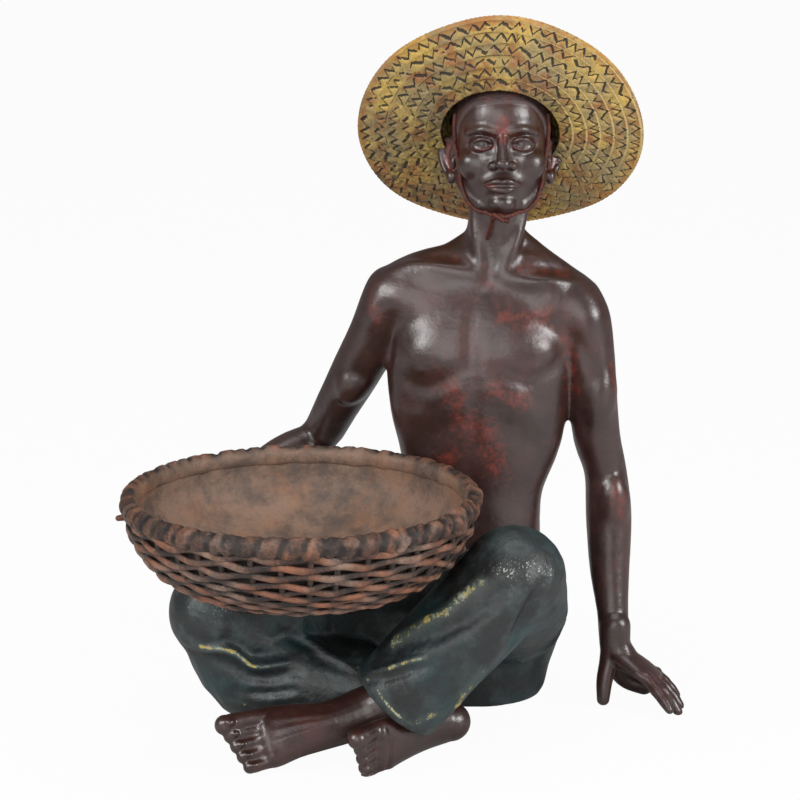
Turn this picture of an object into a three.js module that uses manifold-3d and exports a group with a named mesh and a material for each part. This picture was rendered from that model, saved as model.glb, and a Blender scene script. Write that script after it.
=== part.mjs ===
// Seated peasant figurine: a cast resin man in a straw hat and baggy trousers, who leans on his left
// hand and steadies a woven basket on his crossed legs. The castings are keyed to each other with
// short steel dowels, and felt pads stand under the seat and the folded legs.
//
// Millimetres, +Z up. The origin is on the table under the middle of the seat. The figure faces -Y,
// and its left side is +X.

import * as THREE from "three";
import { mergeVertices } from "three/addons/utils/BufferGeometryUtils.js";
import Module from "manifold-3d";

const wasm = await Module();
wasm.setup();

const v = (x, y, z) => new THREE.Vector3(x, y, z);
const radians = THREE.MathUtils.degToRad;

// Fits between the castings.
const FIT_GAP = 0.3;
const FELT_THICKNESS = 1.0;
const CAST_BASE = FELT_THICKNESS + FIT_GAP;
const TABLE_GAP = 0.3;
const DOWEL_RADIUS = 2.0;
const DOWEL_LENGTH = 14;
const DOWEL_SIDES = 12;

// Skeleton: the centres of the joints of the figure.
const HIP_SPREAD = 14;
const HIP_HEIGHT = 37;
const WAIST_HEIGHT = 64;
const LEFT_HIP = v(HIP_SPREAD, 0, HIP_HEIGHT);
const RIGHT_HIP = v(-HIP_SPREAD, 0, HIP_HEIGHT);
const LEFT_KNEE = v(14, -76, 77);
const RIGHT_KNEE = v(-107, -44, 52);
const LEFT_ANKLE = v(-34, -77, 24.5);
const RIGHT_ANKLE = v(-24, -60, 19);
const LEFT_CALF = v(-13, -80, 49);
const RIGHT_CALF = v(-84, -41, 24.5);
const LEFT_SHOULDER = v(43, 3, 168);
const RIGHT_SHOULDER = v(-36, 8, 175);
const LEFT_ELBOW = v(56, 7, 99);
const LEFT_WRIST = v(60, -10, 28);
const RIGHT_ELBOW = v(-68, 31, 107);
const NECK_ROOT = v(6, 8, 184);
const NECK_TOP = v(10, 6, 226);
const HEAD_CENTRE = v(10, 3.5, 241);

// Trousers.
const THIGH_RADIUS = 24;
const KNEE_RADIUS = 21.5;
const CALF_RADIUS = 25;
const SHIN_RADIUS = 20.5;
const HEM_RADIUS = 20.5;
const HEM_CLOTH = 2.4;
const HEM_RECESS = 7;
const WAISTBAND_LIP = 1.8;
const WAISTBAND_HEIGHT = 8;

// Basket.
const BASKET_CENTRE_X = -72;
const BASKET_CENTRE_Y = -68;
const BASKET_SINK = 0.5;
const BASKET_BASE_RADIUS = 38;
const BASKET_RIM_RADIUS = 70.5;
const BASKET_DEPTH = 34;
const BASKET_WALL = 3.6;
const BASKET_FLOOR = 4;
const STAKES = 22;
const WEAVE_ROWS = 7;
const WEAVE_RELIEF = 1.1;
const RIM_ROPE_RADIUS = 4.5;
const RIM_ROPE_LUMPS = 54;
const RIM_ROPE_RELIEF = 0.8;

// Hat.
const BRIM_RADIUS = 59;
const CROWN_RADIUS = 25;
const CROWN_DEPTH = 29;
const HAT_WALL = 2.4;
const BRAID_STEP = 0.7;
const BRIM_BRAIDS = 6;
const CROWN_BRAIDS = 4;
const HAT_TILT = 54;
const HAT_ROLL = 6;
const BRIM_LIFT = 2.5;
const BRIM_WAVE = 3.5;
const HAT_SIDES = 24;

// Head.
const HEAD_TILT = 8;

// Chin cord.
const CORD_RADIUS = 0.9;

const COLOURS = {
  skin: { color: 0x3a2422, roughness: 0.35, metalness: 0.0 },
  trousers: { color: 0x1d2624, roughness: 0.5, metalness: 0.0 },
  straw: { color: 0xb59a4a, roughness: 0.6, metalness: 0.0 },
  wicker: { color: 0x6b4430, roughness: 0.65, metalness: 0.0 },
  cord: { color: 0x5a2c22, roughness: 0.5, metalness: 0.0 },
  steel: { color: 0xb8babd, roughness: 0.3, metalness: 1.0 },
  felt: { color: 0x23402c, roughness: 0.95, metalness: 0.0 },
};
const materials = Object.fromEntries(
  Object.entries(COLOURS).map(([name, look]) => [name, new THREE.MeshStandardMaterial(look)]),
);

// Solids and booleans.

/** A closed geometry as a solid that can be joined and cut. */
function solid(geometry) {
  const bare = new THREE.BufferGeometry();
  bare.setAttribute("position", geometry.getAttribute("position"));
  bare.setIndex(geometry.getIndex());
  const merged = mergeVertices(bare, 1e-4);
  const triVerts = new Uint32Array(merged.getIndex().array);
  const vertProperties = new Float32Array(merged.getAttribute("position").array);
  const made = new wasm.Manifold(new wasm.Mesh({ numProp: 3, vertProperties, triVerts }));
  if (made.volume() >= 0) return made;
  for (let i = 0; i < triVerts.length; i += 3) {
    [triVerts[i + 1], triVerts[i + 2]] = [triVerts[i + 2], triVerts[i + 1]];
  }
  return new wasm.Manifold(new wasm.Mesh({ numProp: 3, vertProperties, triVerts }));
}

const join = (...pieces) => pieces.reduce((whole, piece) => whole.add(piece));
const cut = (whole, ...tools) => tools.reduce((left, tool) => left.subtract(tool), whole);

/** The largest body of a solid, without the crumbs that a cut can leave. */
function mainBody(whole) {
  const bodies = whole.decompose();
  return bodies.reduce((best, body) => (body.volume() > best.volume() ? body : best));
}

/** A named mesh of a solid. */
function meshOf(name, whole, material) {
  const { vertProperties, triVerts, numProp } = mainBody(whole).getMesh();
  const positions = new Float32Array((vertProperties.length / numProp) * 3);
  for (let i = 0; i < positions.length / 3; i += 1) {
    positions.set(vertProperties.subarray(i * numProp, i * numProp + 3), i * 3);
  }
  const geometry = new THREE.BufferGeometry();
  geometry.setAttribute("position", new THREE.BufferAttribute(positions, 3));
  geometry.setIndex(new THREE.BufferAttribute(new Uint32Array(triVerts), 1));
  const mesh = new THREE.Mesh(geometry, material);
  mesh.name = name;
  return mesh;
}

/** Everything on the side of a plane that its normal points to, as one large block. */
function halfSpace(point, normal) {
  const size = 600;
  const block = new THREE.BoxGeometry(size, size, size);
  block.translate(0, 0, size / 2);
  const turn = new THREE.Quaternion().setFromUnitVectors(v(0, 0, 1), normal.clone().normalize());
  block.applyQuaternion(turn);
  block.translate(point.x, point.y, point.z);
  return solid(block);
}

/** What lies above a height. */
const above = (height) => halfSpace(v(0, 0, height), v(0, 0, 1));

/** An ellipsoid at a place, its radii along X, Y and Z, optionally turned. */
function ellipsoid(centre, radii, { turn = null, around = 14, up = 9 } = {}) {
  const ball = new THREE.SphereGeometry(1, around, up);
  ball.scale(radii.x, radii.y, radii.z);
  if (turn) ball.applyQuaternion(turn);
  ball.translate(centre.x, centre.y, centre.z);
  return solid(ball);
}

/** A closed skin over rings of equally many points, with a fan on each end. */
function skin(rings) {
  const around = rings[0].length;
  const points = rings.flat();
  const middle = (ring) => ring.reduce((sum, p) => sum.add(p), v(0, 0, 0)).divideScalar(around);
  points.push(middle(rings[0]), middle(rings.at(-1)));
  const faces = [];
  for (let i = 0; i < rings.length - 1; i += 1) {
    for (let j = 0; j < around; j += 1) {
      const a = i * around + j;
      const b = i * around + ((j + 1) % around);
      faces.push(a, b, b + around, a, b + around, a + around);
    }
  }
  const last = (rings.length - 1) * around;
  for (let j = 0; j < around; j += 1) {
    const next = (j + 1) % around;
    faces.push(points.length - 2, next, j, points.length - 1, last + j, last + next);
  }
  const geometry = new THREE.BufferGeometry().setFromPoints(points);
  geometry.setIndex(faces);
  return geometry;
}

/**
 * A limb: a skin through elliptical stations [centre, half width, half depth]. The width lies
 * along side, and the depth across it. Bearings run from the front, at 0, towards side, at 90.
 */
function limb(stations, options = {}) {
  const {
    side = v(1, 0, 0), sides = 14, steps = 2, domes = [true, true], grow = 0,
    relief = () => 0, crowd = 0,
  } = options;
  const path = new THREE.CatmullRomCurve3(stations.map(([centre]) => centre));
  const size = new THREE.CatmullRomCurve3(stations.map(([, wide, deep]) => v(wide, deep, 0)));
  const spans = (stations.length - 1) * steps;
  const places = [];
  for (let k = 0; k <= spans; k += 1) {
    places.push({ t: k / spans, beyond: 0, share: 1 });
  }
  const dome = (sides > 10 ? [70, 38] : [50]).map(radians);
  const reach = (t) => Math.min(size.getPoint(t).x, size.getPoint(t).y) + grow;
  const cap = (t, sign, angles) =>
    angles.map((a) => ({ t, beyond: sign * reach(t) * Math.sin(a), share: Math.cos(a) }));
  if (domes[0]) places.unshift(...cap(0, -1, dome));
  if (domes[1]) places.push(...cap(1, 1, dome.toReversed()));
  const rings = places.map(({ t, beyond, share }) => {
    const along = path.getTangent(t);
    const centre = path.getPoint(t).addScaledVector(along, beyond);
    const across = side.clone().addScaledVector(along, -side.dot(along)).normalize();
    const depth = along.clone().cross(across);
    const { x: wide, y: deep } = size.getPoint(t);
    return Array.from({ length: sides }, (_, j) => {
      const even = (j / sides) * 2 * Math.PI;
      const bearing = even - crowd * Math.sin(even);
      const extra = grow + relief(THREE.MathUtils.radToDeg(bearing), centre);
      return centre
        .clone()
        .addScaledVector(across, Math.sin(bearing) * (wide + extra) * share)
        .addScaledVector(depth, -Math.cos(bearing) * (deep + extra) * share);
    });
  });
  return solid(skin(rings));
}

/** The sum of soft bumps [bearing, height, spread in degrees, reach, lift], as a limb's relief. */
function reliefOf(bumps) {
  return (bearing, centre) =>
    bumps.reduce((sum, [at, height, spread, reach, lift]) => {
      const off = ((((bearing - at) % 360) + 540) % 360) - 180;
      return sum + lift * Math.exp(-((off / spread) ** 2) - ((centre.z - height) / reach) ** 2);
    }, 0);
}

/** The same bump on both sides of the body. */
const pair = ([bearing, ...rest]) => [
  [bearing, ...rest],
  [-bearing, ...rest],
];

/** A dowel, or with grow the hole for it, half on each side of a joint. */
function dowel(centre, axis, grow = 0) {
  const length = DOWEL_LENGTH + 2 * grow;
  const rod = new THREE.CylinderGeometry(DOWEL_RADIUS + grow, DOWEL_RADIUS + grow, length, DOWEL_SIDES);
  rod.applyQuaternion(new THREE.Quaternion().setFromUnitVectors(v(0, 1, 0), axis.clone().normalize()));
  rod.translate(centre.x, centre.y, centre.z);
  return solid(rod);
}

// Basket. Its profile is a bowl: radius and height for a share of the way up the wall.

const BASKET_BASE_Z = RIGHT_KNEE.z + KNEE_RADIUS - BASKET_SINK;
const BASKET_RIM_Z = BASKET_BASE_Z + BASKET_DEPTH;
const BASKET_CENTRE = v(BASKET_CENTRE_X, BASKET_CENTRE_Y, BASKET_BASE_Z);

function basketWall(share) {
  const turn = (share * Math.PI) / 2;
  return {
    radius: BASKET_BASE_RADIUS + (BASKET_RIM_RADIUS - BASKET_BASE_RADIUS) * Math.sin(turn) ** 0.9,
    height: BASKET_DEPTH * (1 - Math.cos(turn)) ** 0.85,
  };
}

/** A ring of points round the basket's axis. */
function basketRing(count, radiusAt, height) {
  return Array.from({ length: count }, (_, j) => {
    const angle = (j / count) * 2 * Math.PI;
    const radius = radiusAt(angle);
    return v(radius * Math.cos(angle), radius * Math.sin(angle), height).add(BASKET_CENTRE);
  });
}

/** How far a weaver of a row stands out at an angle: over one stake and under the next. */
const weaveAt = (row, angle) => Math.cos((angle * STAKES) / 2 + row * Math.PI);

function basketBowl() {
  const around = STAKES * 2;
  const rings = [basketRing(around, () => BASKET_BASE_RADIUS - 4, 0)];
  const rowShare = 1 / WEAVE_ROWS;
  for (let row = 0; row < WEAVE_ROWS; row += 1) {
    for (const [place, swell] of [[0.06, 0], [0.5, 1]]) {
      const wall = basketWall((row + place) * rowShare * 0.94);
      const radiusAt = (angle) =>
        wall.radius + swell * (WEAVE_RELIEF * 0.5 + WEAVE_RELIEF * 0.5 * weaveAt(row, angle));
      rings.push(basketRing(around, radiusAt, wall.height));
    }
  }
  const lip = BASKET_DEPTH - RIM_ROPE_RADIUS * Math.cos(Math.PI / 6) - FIT_GAP;
  const topOuter = basketWall(0.94).radius;
  rings.push(basketRing(around, () => topOuter, lip));
  for (const share of [0.94, 0.7, 0.4, 0.12]) {
    const wall = basketWall(share);
    const height = BASKET_FLOOR + (wall.height / BASKET_DEPTH) * (lip - BASKET_FLOOR);
    rings.push(basketRing(around, () => wall.radius - BASKET_WALL, share === 0.94 ? lip : height));
  }
  rings.push(basketRing(around, () => BASKET_BASE_RADIUS - BASKET_WALL, BASKET_FLOOR));
  return solid(skin(rings));
}

/** The twisted rope on top of the wall, its strands as slanting lumps. */
function basketRim(grow = 0) {
  const around = RIM_ROPE_LUMPS * 2;
  const strandSides = 5;
  const crest = radians(60);
  const positions = [];
  const faces = [];
  const centreRadius = BASKET_RIM_RADIUS - BASKET_WALL / 2;
  for (let i = 0; i < around; i += 1) {
    const angle = (i / around) * 2 * Math.PI;
    for (let j = 0; j < strandSides; j += 1) {
      const turn = (j / strandSides) * 2 * Math.PI;
      const lump = Math.cos(RIM_ROPE_LUMPS * angle - turn + crest);
      const thick = RIM_ROPE_RADIUS + grow - RIM_ROPE_RELIEF * (0.5 - 0.5 * lump);
      const radius = centreRadius + thick * Math.cos(turn);
      const height = BASKET_DEPTH + thick * Math.sin(turn);
      positions.push(v(radius * Math.cos(angle), radius * Math.sin(angle), height).add(BASKET_CENTRE));
      const nextI = ((i + 1) % around) * strandSides;
      const nextJ = (j + 1) % strandSides;
      const here = i * strandSides;
      faces.push(here + j, nextI + j, nextI + nextJ, here + j, nextI + nextJ, here + nextJ);
    }
  }
  const geometry = new THREE.BufferGeometry().setFromPoints(positions);
  geometry.setIndex(faces);
  return solid(geometry);
}

/** The space that the basket takes, with a gap round it, that its neighbours are cut back from. */
function basketEnvelope(gap) {
  const around = STAKES;
  const outside = 1 / Math.cos(Math.PI / around);
  const ring = (radius, height) => basketRing(around, () => (radius + gap) * outside, height);
  const rings = [ring(BASKET_BASE_RADIUS - 4 + WEAVE_RELIEF, -gap)];
  for (const share of [0, 0.15, 0.3, 0.5, 0.7, 0.94]) {
    const wall = basketWall(share);
    rings.push(ring(wall.radius + WEAVE_RELIEF + gap / 2, wall.height - gap));
  }
  const ropeOuter = BASKET_RIM_RADIUS - BASKET_WALL / 2 + RIM_ROPE_RADIUS;
  rings.push(ring(ropeOuter, BASKET_DEPTH - RIM_ROPE_RADIUS - gap));
  rings.push(ring(ropeOuter, BASKET_DEPTH + RIM_ROPE_RADIUS + gap));
  return solid(skin(rings));
}

// Trousers: the seat and two bent legs, whose hems the feet come out of.

const WAIST_WIDE = 29.5;
const WAIST_DEEP = 20;
const WAIST_CENTRE = v(-1, 1, WAIST_HEIGHT);

const towards = (from, to) => to.clone().sub(from).normalize();

/** A point beyond the end of a bone, by a length. */
const beyond = (from, to, length) => to.clone().addScaledVector(towards(from, to), length);

function trouserLeg(hip, knee, calf, ankle, calfRadius, hemRadius) {
  const thighMiddle = hip.clone().lerp(knee, 0.5);
  const thigh = limb(
    [
      [hip, THIGH_RADIUS, THIGH_RADIUS],
      [thighMiddle, THIGH_RADIUS, THIGH_RADIUS],
      [knee, KNEE_RADIUS, KNEE_RADIUS],
    ],
    { side: v(0, 0, 1), sides: 14, steps: 2 },
  );
  const shin = limb(
    [
      [knee, KNEE_RADIUS * 0.9, KNEE_RADIUS * 0.9],
      [calf, calfRadius, calfRadius],
      [ankle, hemRadius, hemRadius * 0.95],
    ],
    { side: v(0, 0, 1), sides: 14, steps: 2, domes: [false, false] },
  );
  return thigh.add(shin);
}

/** The hollow of a hem, that the foot comes out of. */
function hemRecess(calf, ankle, hemRadius) {
  const radius = hemRadius - HEM_CLOTH;
  return limb(
    [
      [beyond(calf, ankle, 2), radius, radius * 0.95],
      [beyond(ankle, calf, -calf.distanceTo(ankle) + HEM_RECESS).lerp(ankle, 0.5), radius, radius * 0.95],
      [ankle.clone().lerp(calf, HEM_RECESS / calf.distanceTo(ankle)), radius - 1, radius * 0.9],
    ],
    { side: v(0, 0, 1), sides: 16, steps: 1, domes: [false, false] },
  );
}

function trousers() {
  const seat = limb(
    [
      [v(0, 6, 14), 33, 29],
      [v(0, 5, 32), 38, 31],
      [v(-0.5, 3, 50), 34, 25],
      [WAIST_CENTRE, WAIST_WIDE + WAISTBAND_LIP, WAIST_DEEP + WAISTBAND_LIP],
      [v(-1, 1, WAIST_HEIGHT + WAISTBAND_HEIGHT), WAIST_WIDE + WAISTBAND_LIP, WAIST_DEEP + WAISTBAND_LIP],
    ],
    { sides: 18, steps: 1, domes: [true, false] },
  );
  const left = trouserLeg(LEFT_HIP, LEFT_KNEE, LEFT_CALF, LEFT_ANKLE, SHIN_RADIUS, HEM_RADIUS);
  const right = trouserLeg(RIGHT_HIP, RIGHT_KNEE, RIGHT_CALF, RIGHT_ANKLE, CALF_RADIUS, HEM_RADIUS * 0.8);
  return join(seat, left, right).subtract(hemRecess(LEFT_CALF, LEFT_ANKLE, HEM_RADIUS));
}

// Feet. A foot is modelled flat in its own frame, its heel at the origin, its toes along +X, its
// sole at -Z and its big toe at +Y, and is then laid in its place.

const FOOT_LENGTH = 66;
const FOOT_WIDTH = 25;

function footShape(grow, withToes) {
  const half = FOOT_WIDTH / 2;
  const body = limb(
    [
      [v(6, 0, 7), 8.5, 7.4],
      [v(20, 0.5, 8.5), 9.2, 8.6],
      [v(34, 1, 7), 10.4, 7.2],
      [v(FOOT_LENGTH * 0.68, 1, 5.4), half, 5.4],
      [v(FOOT_LENGTH * 0.8, 1, 4), half * 0.94, 3.4],
    ],
    { side: v(0, 1, 0), sides: 12, steps: 1, grow, domes: [true, false] },
  );
  const toes = (withToes ? [0, 1, 2, 3, 4] : []).map((n) => {
    const radius = n === 0 ? 4.1 : 3.1 - n * 0.18;
    const across = half - 3.6 - n * 4.35;
    const tip = FOOT_LENGTH - 3 - (n === 0 ? 0 : 0.8 + n * 2.1);
    return limb(
      [
        [v(FOOT_LENGTH * 0.66, across * 0.95, radius + 1.4), radius * 0.95, radius * 0.95],
        [v(FOOT_LENGTH * 0.84, across, radius + 1.6), radius * 0.92, radius * 0.95],
        [v(tip, across, radius), radius, radius * 0.92],
      ],
      { side: v(0, 1, 0), sides: 6, steps: 1, grow, domes: [false, true] },
    );
  });
  return join(body, ...toes);
}

/** A transform that carries a foot's or hand's frame to a place: along its length, and its top. */
function placing(origin, along, top) {
  const x = along.clone().normalize();
  const z = top.clone().addScaledVector(x, -top.dot(x)).normalize();
  const y = z.clone().cross(x);
  return new THREE.Matrix4().makeBasis(x, y, z).setPosition(origin);
}

const placed = (whole, matrix) => whole.transform(matrix.elements);

/** The left foot lies on its outer edge, its top to the front, and its toes to the figure's right. */
function leftFoot(grow = 0, withToes = true) {
  const mirrored = new THREE.Matrix4().makeScale(1, -1, 1);
  const place = placing(v(-47, -68, 11.5), v(-0.93, -0.33, -0.02), v(-0.12, -0.86, 0.5)).multiply(mirrored);
  const ankle = limb(
    [
      [LEFT_ANKLE.clone().lerp(LEFT_CALF, 0.12), 9.5, 9.5],
      [v(-43, -75, 20), 10.5, 9.8],
      [v(-56, -77, 14.5), 10.5, 9],
    ],
    { side: v(0, 0, 1), sides: 12, grow },
  );
  return placed(footShape(grow, withToes), place).add(ankle);
}

/** The right foot lies under the left shin, its sole to the front and its toes to the right. */
function rightFoot(grow = 0, withToes = true) {
  const place = placing(v(-4, -65, 9), v(-0.74, -0.67, -0.02), v(-0.35, 0.62, 0.35));
  return placed(footShape(grow, withToes), place);
}

// Torso.

const CHEST_RELIEF = reliefOf([
  ...pair([38, 151, 24, 11, 3.2]),
  ...pair([30, 136, 30, 4.5, -1.4]),
  [0, 150, 9, 18, -1.3],
  [0, 104, 8, 22, -0.9],
  ...pair([20, 108, 12, 20, 0.8]),
  ...pair([52, 124, 20, 14, 0.9]),
  [180, 125, 12, 50, -2.4],
  ...pair([145, 150, 22, 16, 2.6]),
  ...pair([157, 100, 14, 26, 1.4]),
]);

function torsoShape(grow = 0) {
  const column = limb(
    [
      [WAIST_CENTRE, WAIST_WIDE, WAIST_DEEP],
      [v(-1, 1, 80), 29, 19],
      [v(-0.5, 1, 96), 29.8, 18.6],
      [v(1.5, 1.5, 116), 35.6, 20.2],
      [v(1.5, 2, 134), 38.5, 22],
      [v(2, 3, 152), 40, 22.5],
      [v(3, 5, 168), 37, 19],
      [v(5, 7, 180), 26, 14],
      [v(6, 8, 187), 15, 10],
    ],
    { sides: 18, steps: 2, domes: [false, true], relief: CHEST_RELIEF, grow },
  );
  const yoke = limb(
    [
      [RIGHT_SHOULDER, 12, 12],
      [v(-24, 8, 182), 12, 13],
      [v(-8, 7.5, 184), 14, 14],
      [NECK_ROOT, 15, 14],
      [v(23, 6, 183), 13.5, 14],
      [v(36, 4, 174), 11.5, 13],
      [LEFT_SHOULDER, 11.5, 12],
    ],
    { side: v(0, 0, 1), sides: 12, steps: 1 },
  );
  const neck = limb(
    [
      [NECK_ROOT, 17, 14],
      [NECK_ROOT.clone().lerp(NECK_TOP, 0.3), 12.8, 12.4],
      [NECK_ROOT.clone().lerp(NECK_TOP, 0.6), 11.7, 12],
      [NECK_TOP, 11.4, 12.5],
    ],
    { sides: 14, steps: 1, domes: [true, false] },
  );
  const slope = (points) => limb(points, { side: v(0, 1, 0), sides: 8, steps: 1, grow });
  // The slopes of the shoulders, from the sides of the neck.
  const rightSlope = slope([
    [v(-1.5, 9, 199), 5, 5],
    [v(-11, 9.5, 190.5), 7, 7],
    [v(-28, 9, 181), 9, 8.6],
  ]);
  const leftSlope = slope([
    [v(17.5, 8, 200), 5, 5],
    [v(27, 7, 190), 7.2, 6.6],
    [v(41, 4, 178.5), 9, 8.4],
  ]);
  return join(column, yoke, neck, rightSlope, leftSlope);
}

// Hands. A hand is modelled palm down in its own frame: the wrist at the origin, the fingers along
// +X, the back of the hand at +Z and the thumb at +Y.

const PALM_LENGTH = 22;
const HAND_WIDTH = 21;
const FINGERS = [
  { across: 0.36, length: 17, radius: 2.8 },
  { across: 0.12, length: 19.5, radius: 2.9 },
  { across: -0.12, length: 18, radius: 2.8 },
  { across: -0.36, length: 14, radius: 2.5 },
];

/**
 * A hand whose fingers leave the palm at an angle down of curl and bend on by flex at each joint,
 * and fan out by spread, all in degrees, and whose thumb goes from its root through two points.
 */
function handShape({ curl = 0, flex = 5, spread = 6, thumb = [], grow = 0 }) {
  const palm = limb(
    [
      [v(-3, 0, 0), 5.6, 5.2],
      [v(5, 0.4, 0), 8, 5],
      [v(PALM_LENGTH * 0.7, 0, 0), HAND_WIDTH / 2 + 0.4, 4.2],
      [v(PALM_LENGTH, 0, -0.3), HAND_WIDTH / 2 - 0.4, 3.2],
    ],
    { side: v(0, 1, 0), sides: 12, steps: 1, grow },
  );
  const fingers = FINGERS.map(({ across, length, radius }) => {
    const root = v(PALM_LENGTH - 2, across * HAND_WIDTH, 0);
    const swing = radians(across * spread * 4);
    const bone = (share, bend) =>
      v(
        Math.cos(radians(bend)) * Math.cos(swing) * length * share,
        Math.sin(swing) * length * share,
        -Math.sin(radians(bend)) * length * share,
      );
    const knuckle = root.clone().add(bone(0.42, curl));
    const joint = knuckle.clone().add(bone(0.33, curl + flex));
    const tip = joint.clone().add(bone(0.25, curl + 2 * flex));
    return limb(
      [
        [root, radius * 1.15, radius * 1.15],
        [knuckle, radius, radius],
        [joint, radius * 0.92, radius * 0.9],
        [tip, radius * 0.78, radius * 0.72],
      ],
      { side: v(0, 1, 0), sides: 6, steps: 1, grow, domes: [false, true] },
    );
  });
  const thumbSizes = [[4.4, 4.0], [3.7, 3.4], [2.9, 2.5]];
  const ball = limb(
    thumb.map((point, i) => [point, ...thumbSizes[i]]),
    { side: v(0, 0, 1), sides: 8, steps: 1, grow },
  );
  return join(palm, ...fingers, ball);
}

// Arms.

function leftArmShape() {
  const arm = limb(
    [
      [LEFT_SHOULDER.clone().add(v(-1, 0.5, 5)), 12.2, 12.4],
      [LEFT_SHOULDER.clone().add(v(1.8, 0, -3)), 12.8, 13.2],
      [v(47.6, 2.4, 152), 11.4, 12.4],
      [v(50.2, 3, 132), 10.4, 11],
      [v(52.4, 5, 114), 10.2, 10.4],
      [LEFT_ELBOW, 9.3, 9.6],
      [v(57.6, 5, 80), 10.2, 10],
      [v(58, 0, 58), 9, 8.6],
      [LEFT_WRIST.clone().add(v(-0.8, 4, 12)), 6.9, 6.3],
      [LEFT_WRIST, 6.8, 6.4],
    ],
    { sides: 12, steps: 1 },
  );
  const place = placing(LEFT_WRIST.clone().add(v(-1.2, 1, -4.4)), v(0.8, -0.33, -0.46), v(0.4, 0, 0.9));
  const mirrored = new THREE.Matrix4().makeScale(1, -1, 1);
  const hand = placed(
    handShape({ curl: 12, flex: 5, spread: 9, thumb: leftThumb(place.clone().multiply(mirrored)) }),
    place.multiply(mirrored),
  );
  const heelOfHand = limb(
    [
      [LEFT_WRIST.clone().add(v(0, 7, -8)), 6, 6],
      [LEFT_WRIST.clone().add(v(5, 9, -19)), 5.6, 5],
      [LEFT_WRIST.clone().add(v(14, 8, -23.6)), 4.4, 4],
    ],
    { side: v(0, 1, 0), sides: 8, steps: 1 },
  );
  return cutBelow(join(arm, hand, heelOfHand), TABLE_GAP);
}

/** The left thumb stands straight down under the wrist, its points in the hand's frame. */
function leftThumb(place) {
  const back = place.clone().invert();
  return [v(-2.2, -2, -7), v(-4.6, -5, -16), v(-5, -7.5, -25)].map((step) =>
    LEFT_WRIST.clone().add(step).applyMatrix4(back));
}

/** Cuts a solid flat at a height. */
const cutBelow = (whole, height) => whole.intersect(above(height));

/** The right wrist and fingertips lie behind the basket, at bearings from its back towards -X. */
function behindBasket(bearing, radius, height) {
  const angle = radians(bearing);
  return v(-Math.sin(angle) * radius, Math.cos(angle) * radius, height).add(BASKET_CENTRE);
}
const RIGHT_WRIST = behindBasket(38, BASKET_RIM_RADIUS + 3, BASKET_DEPTH - 21);
const RIGHT_FINGERTIPS = behindBasket(74, BASKET_RIM_RADIUS - 7, BASKET_DEPTH - 24);

function rightArmShape() {
  const arm = limb(
    [
      [RIGHT_SHOULDER.clone().add(v(0, 0.5, 2)), 11.2, 12.2],
      [RIGHT_SHOULDER.clone().add(v(-2.5, 1, -5)), 11.4, 12.6],
      [v(-43, 11, 157), 11.4, 12],
      [v(-51, 17, 140), 11, 11.4],
      [v(-59, 23, 124), 9.8, 10],
      [RIGHT_ELBOW, 8.8, 9],
      [RIGHT_ELBOW.clone().lerp(RIGHT_WRIST, 0.3).add(v(0, 3, 0)), 9.6, 9.4],
      [RIGHT_ELBOW.clone().lerp(RIGHT_WRIST, 0.75), 7.2, 7],
      [RIGHT_WRIST, 6.6, 6],
    ],
    { side: v(1, 0, 0.3), sides: 12, steps: 1 },
  );
  const palmUp = towards(RIGHT_WRIST, BASKET_CENTRE.clone().add(v(0, 0, BASKET_DEPTH))).negate();
  const place = placing(RIGHT_WRIST, towards(RIGHT_WRIST, RIGHT_FINGERTIPS), palmUp);
  const thumb = [v(3, 4.5, -0.6), v(11.4, 9.8, 0.4), v(19.8, 15, 1.5)];
  const hand = placed(handShape({ curl: 8, flex: 9, spread: 3, thumb }), place);
  return join(arm, hand);
}

// Head. It is modelled upright in its own frame, face to -Y, and is then tipped back on the neck.

const HEAD_TURN = new THREE.Quaternion().setFromAxisAngle(v(1, 0, 0), -radians(HEAD_TILT));
const EYE_SPACING = 8.2;

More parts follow.
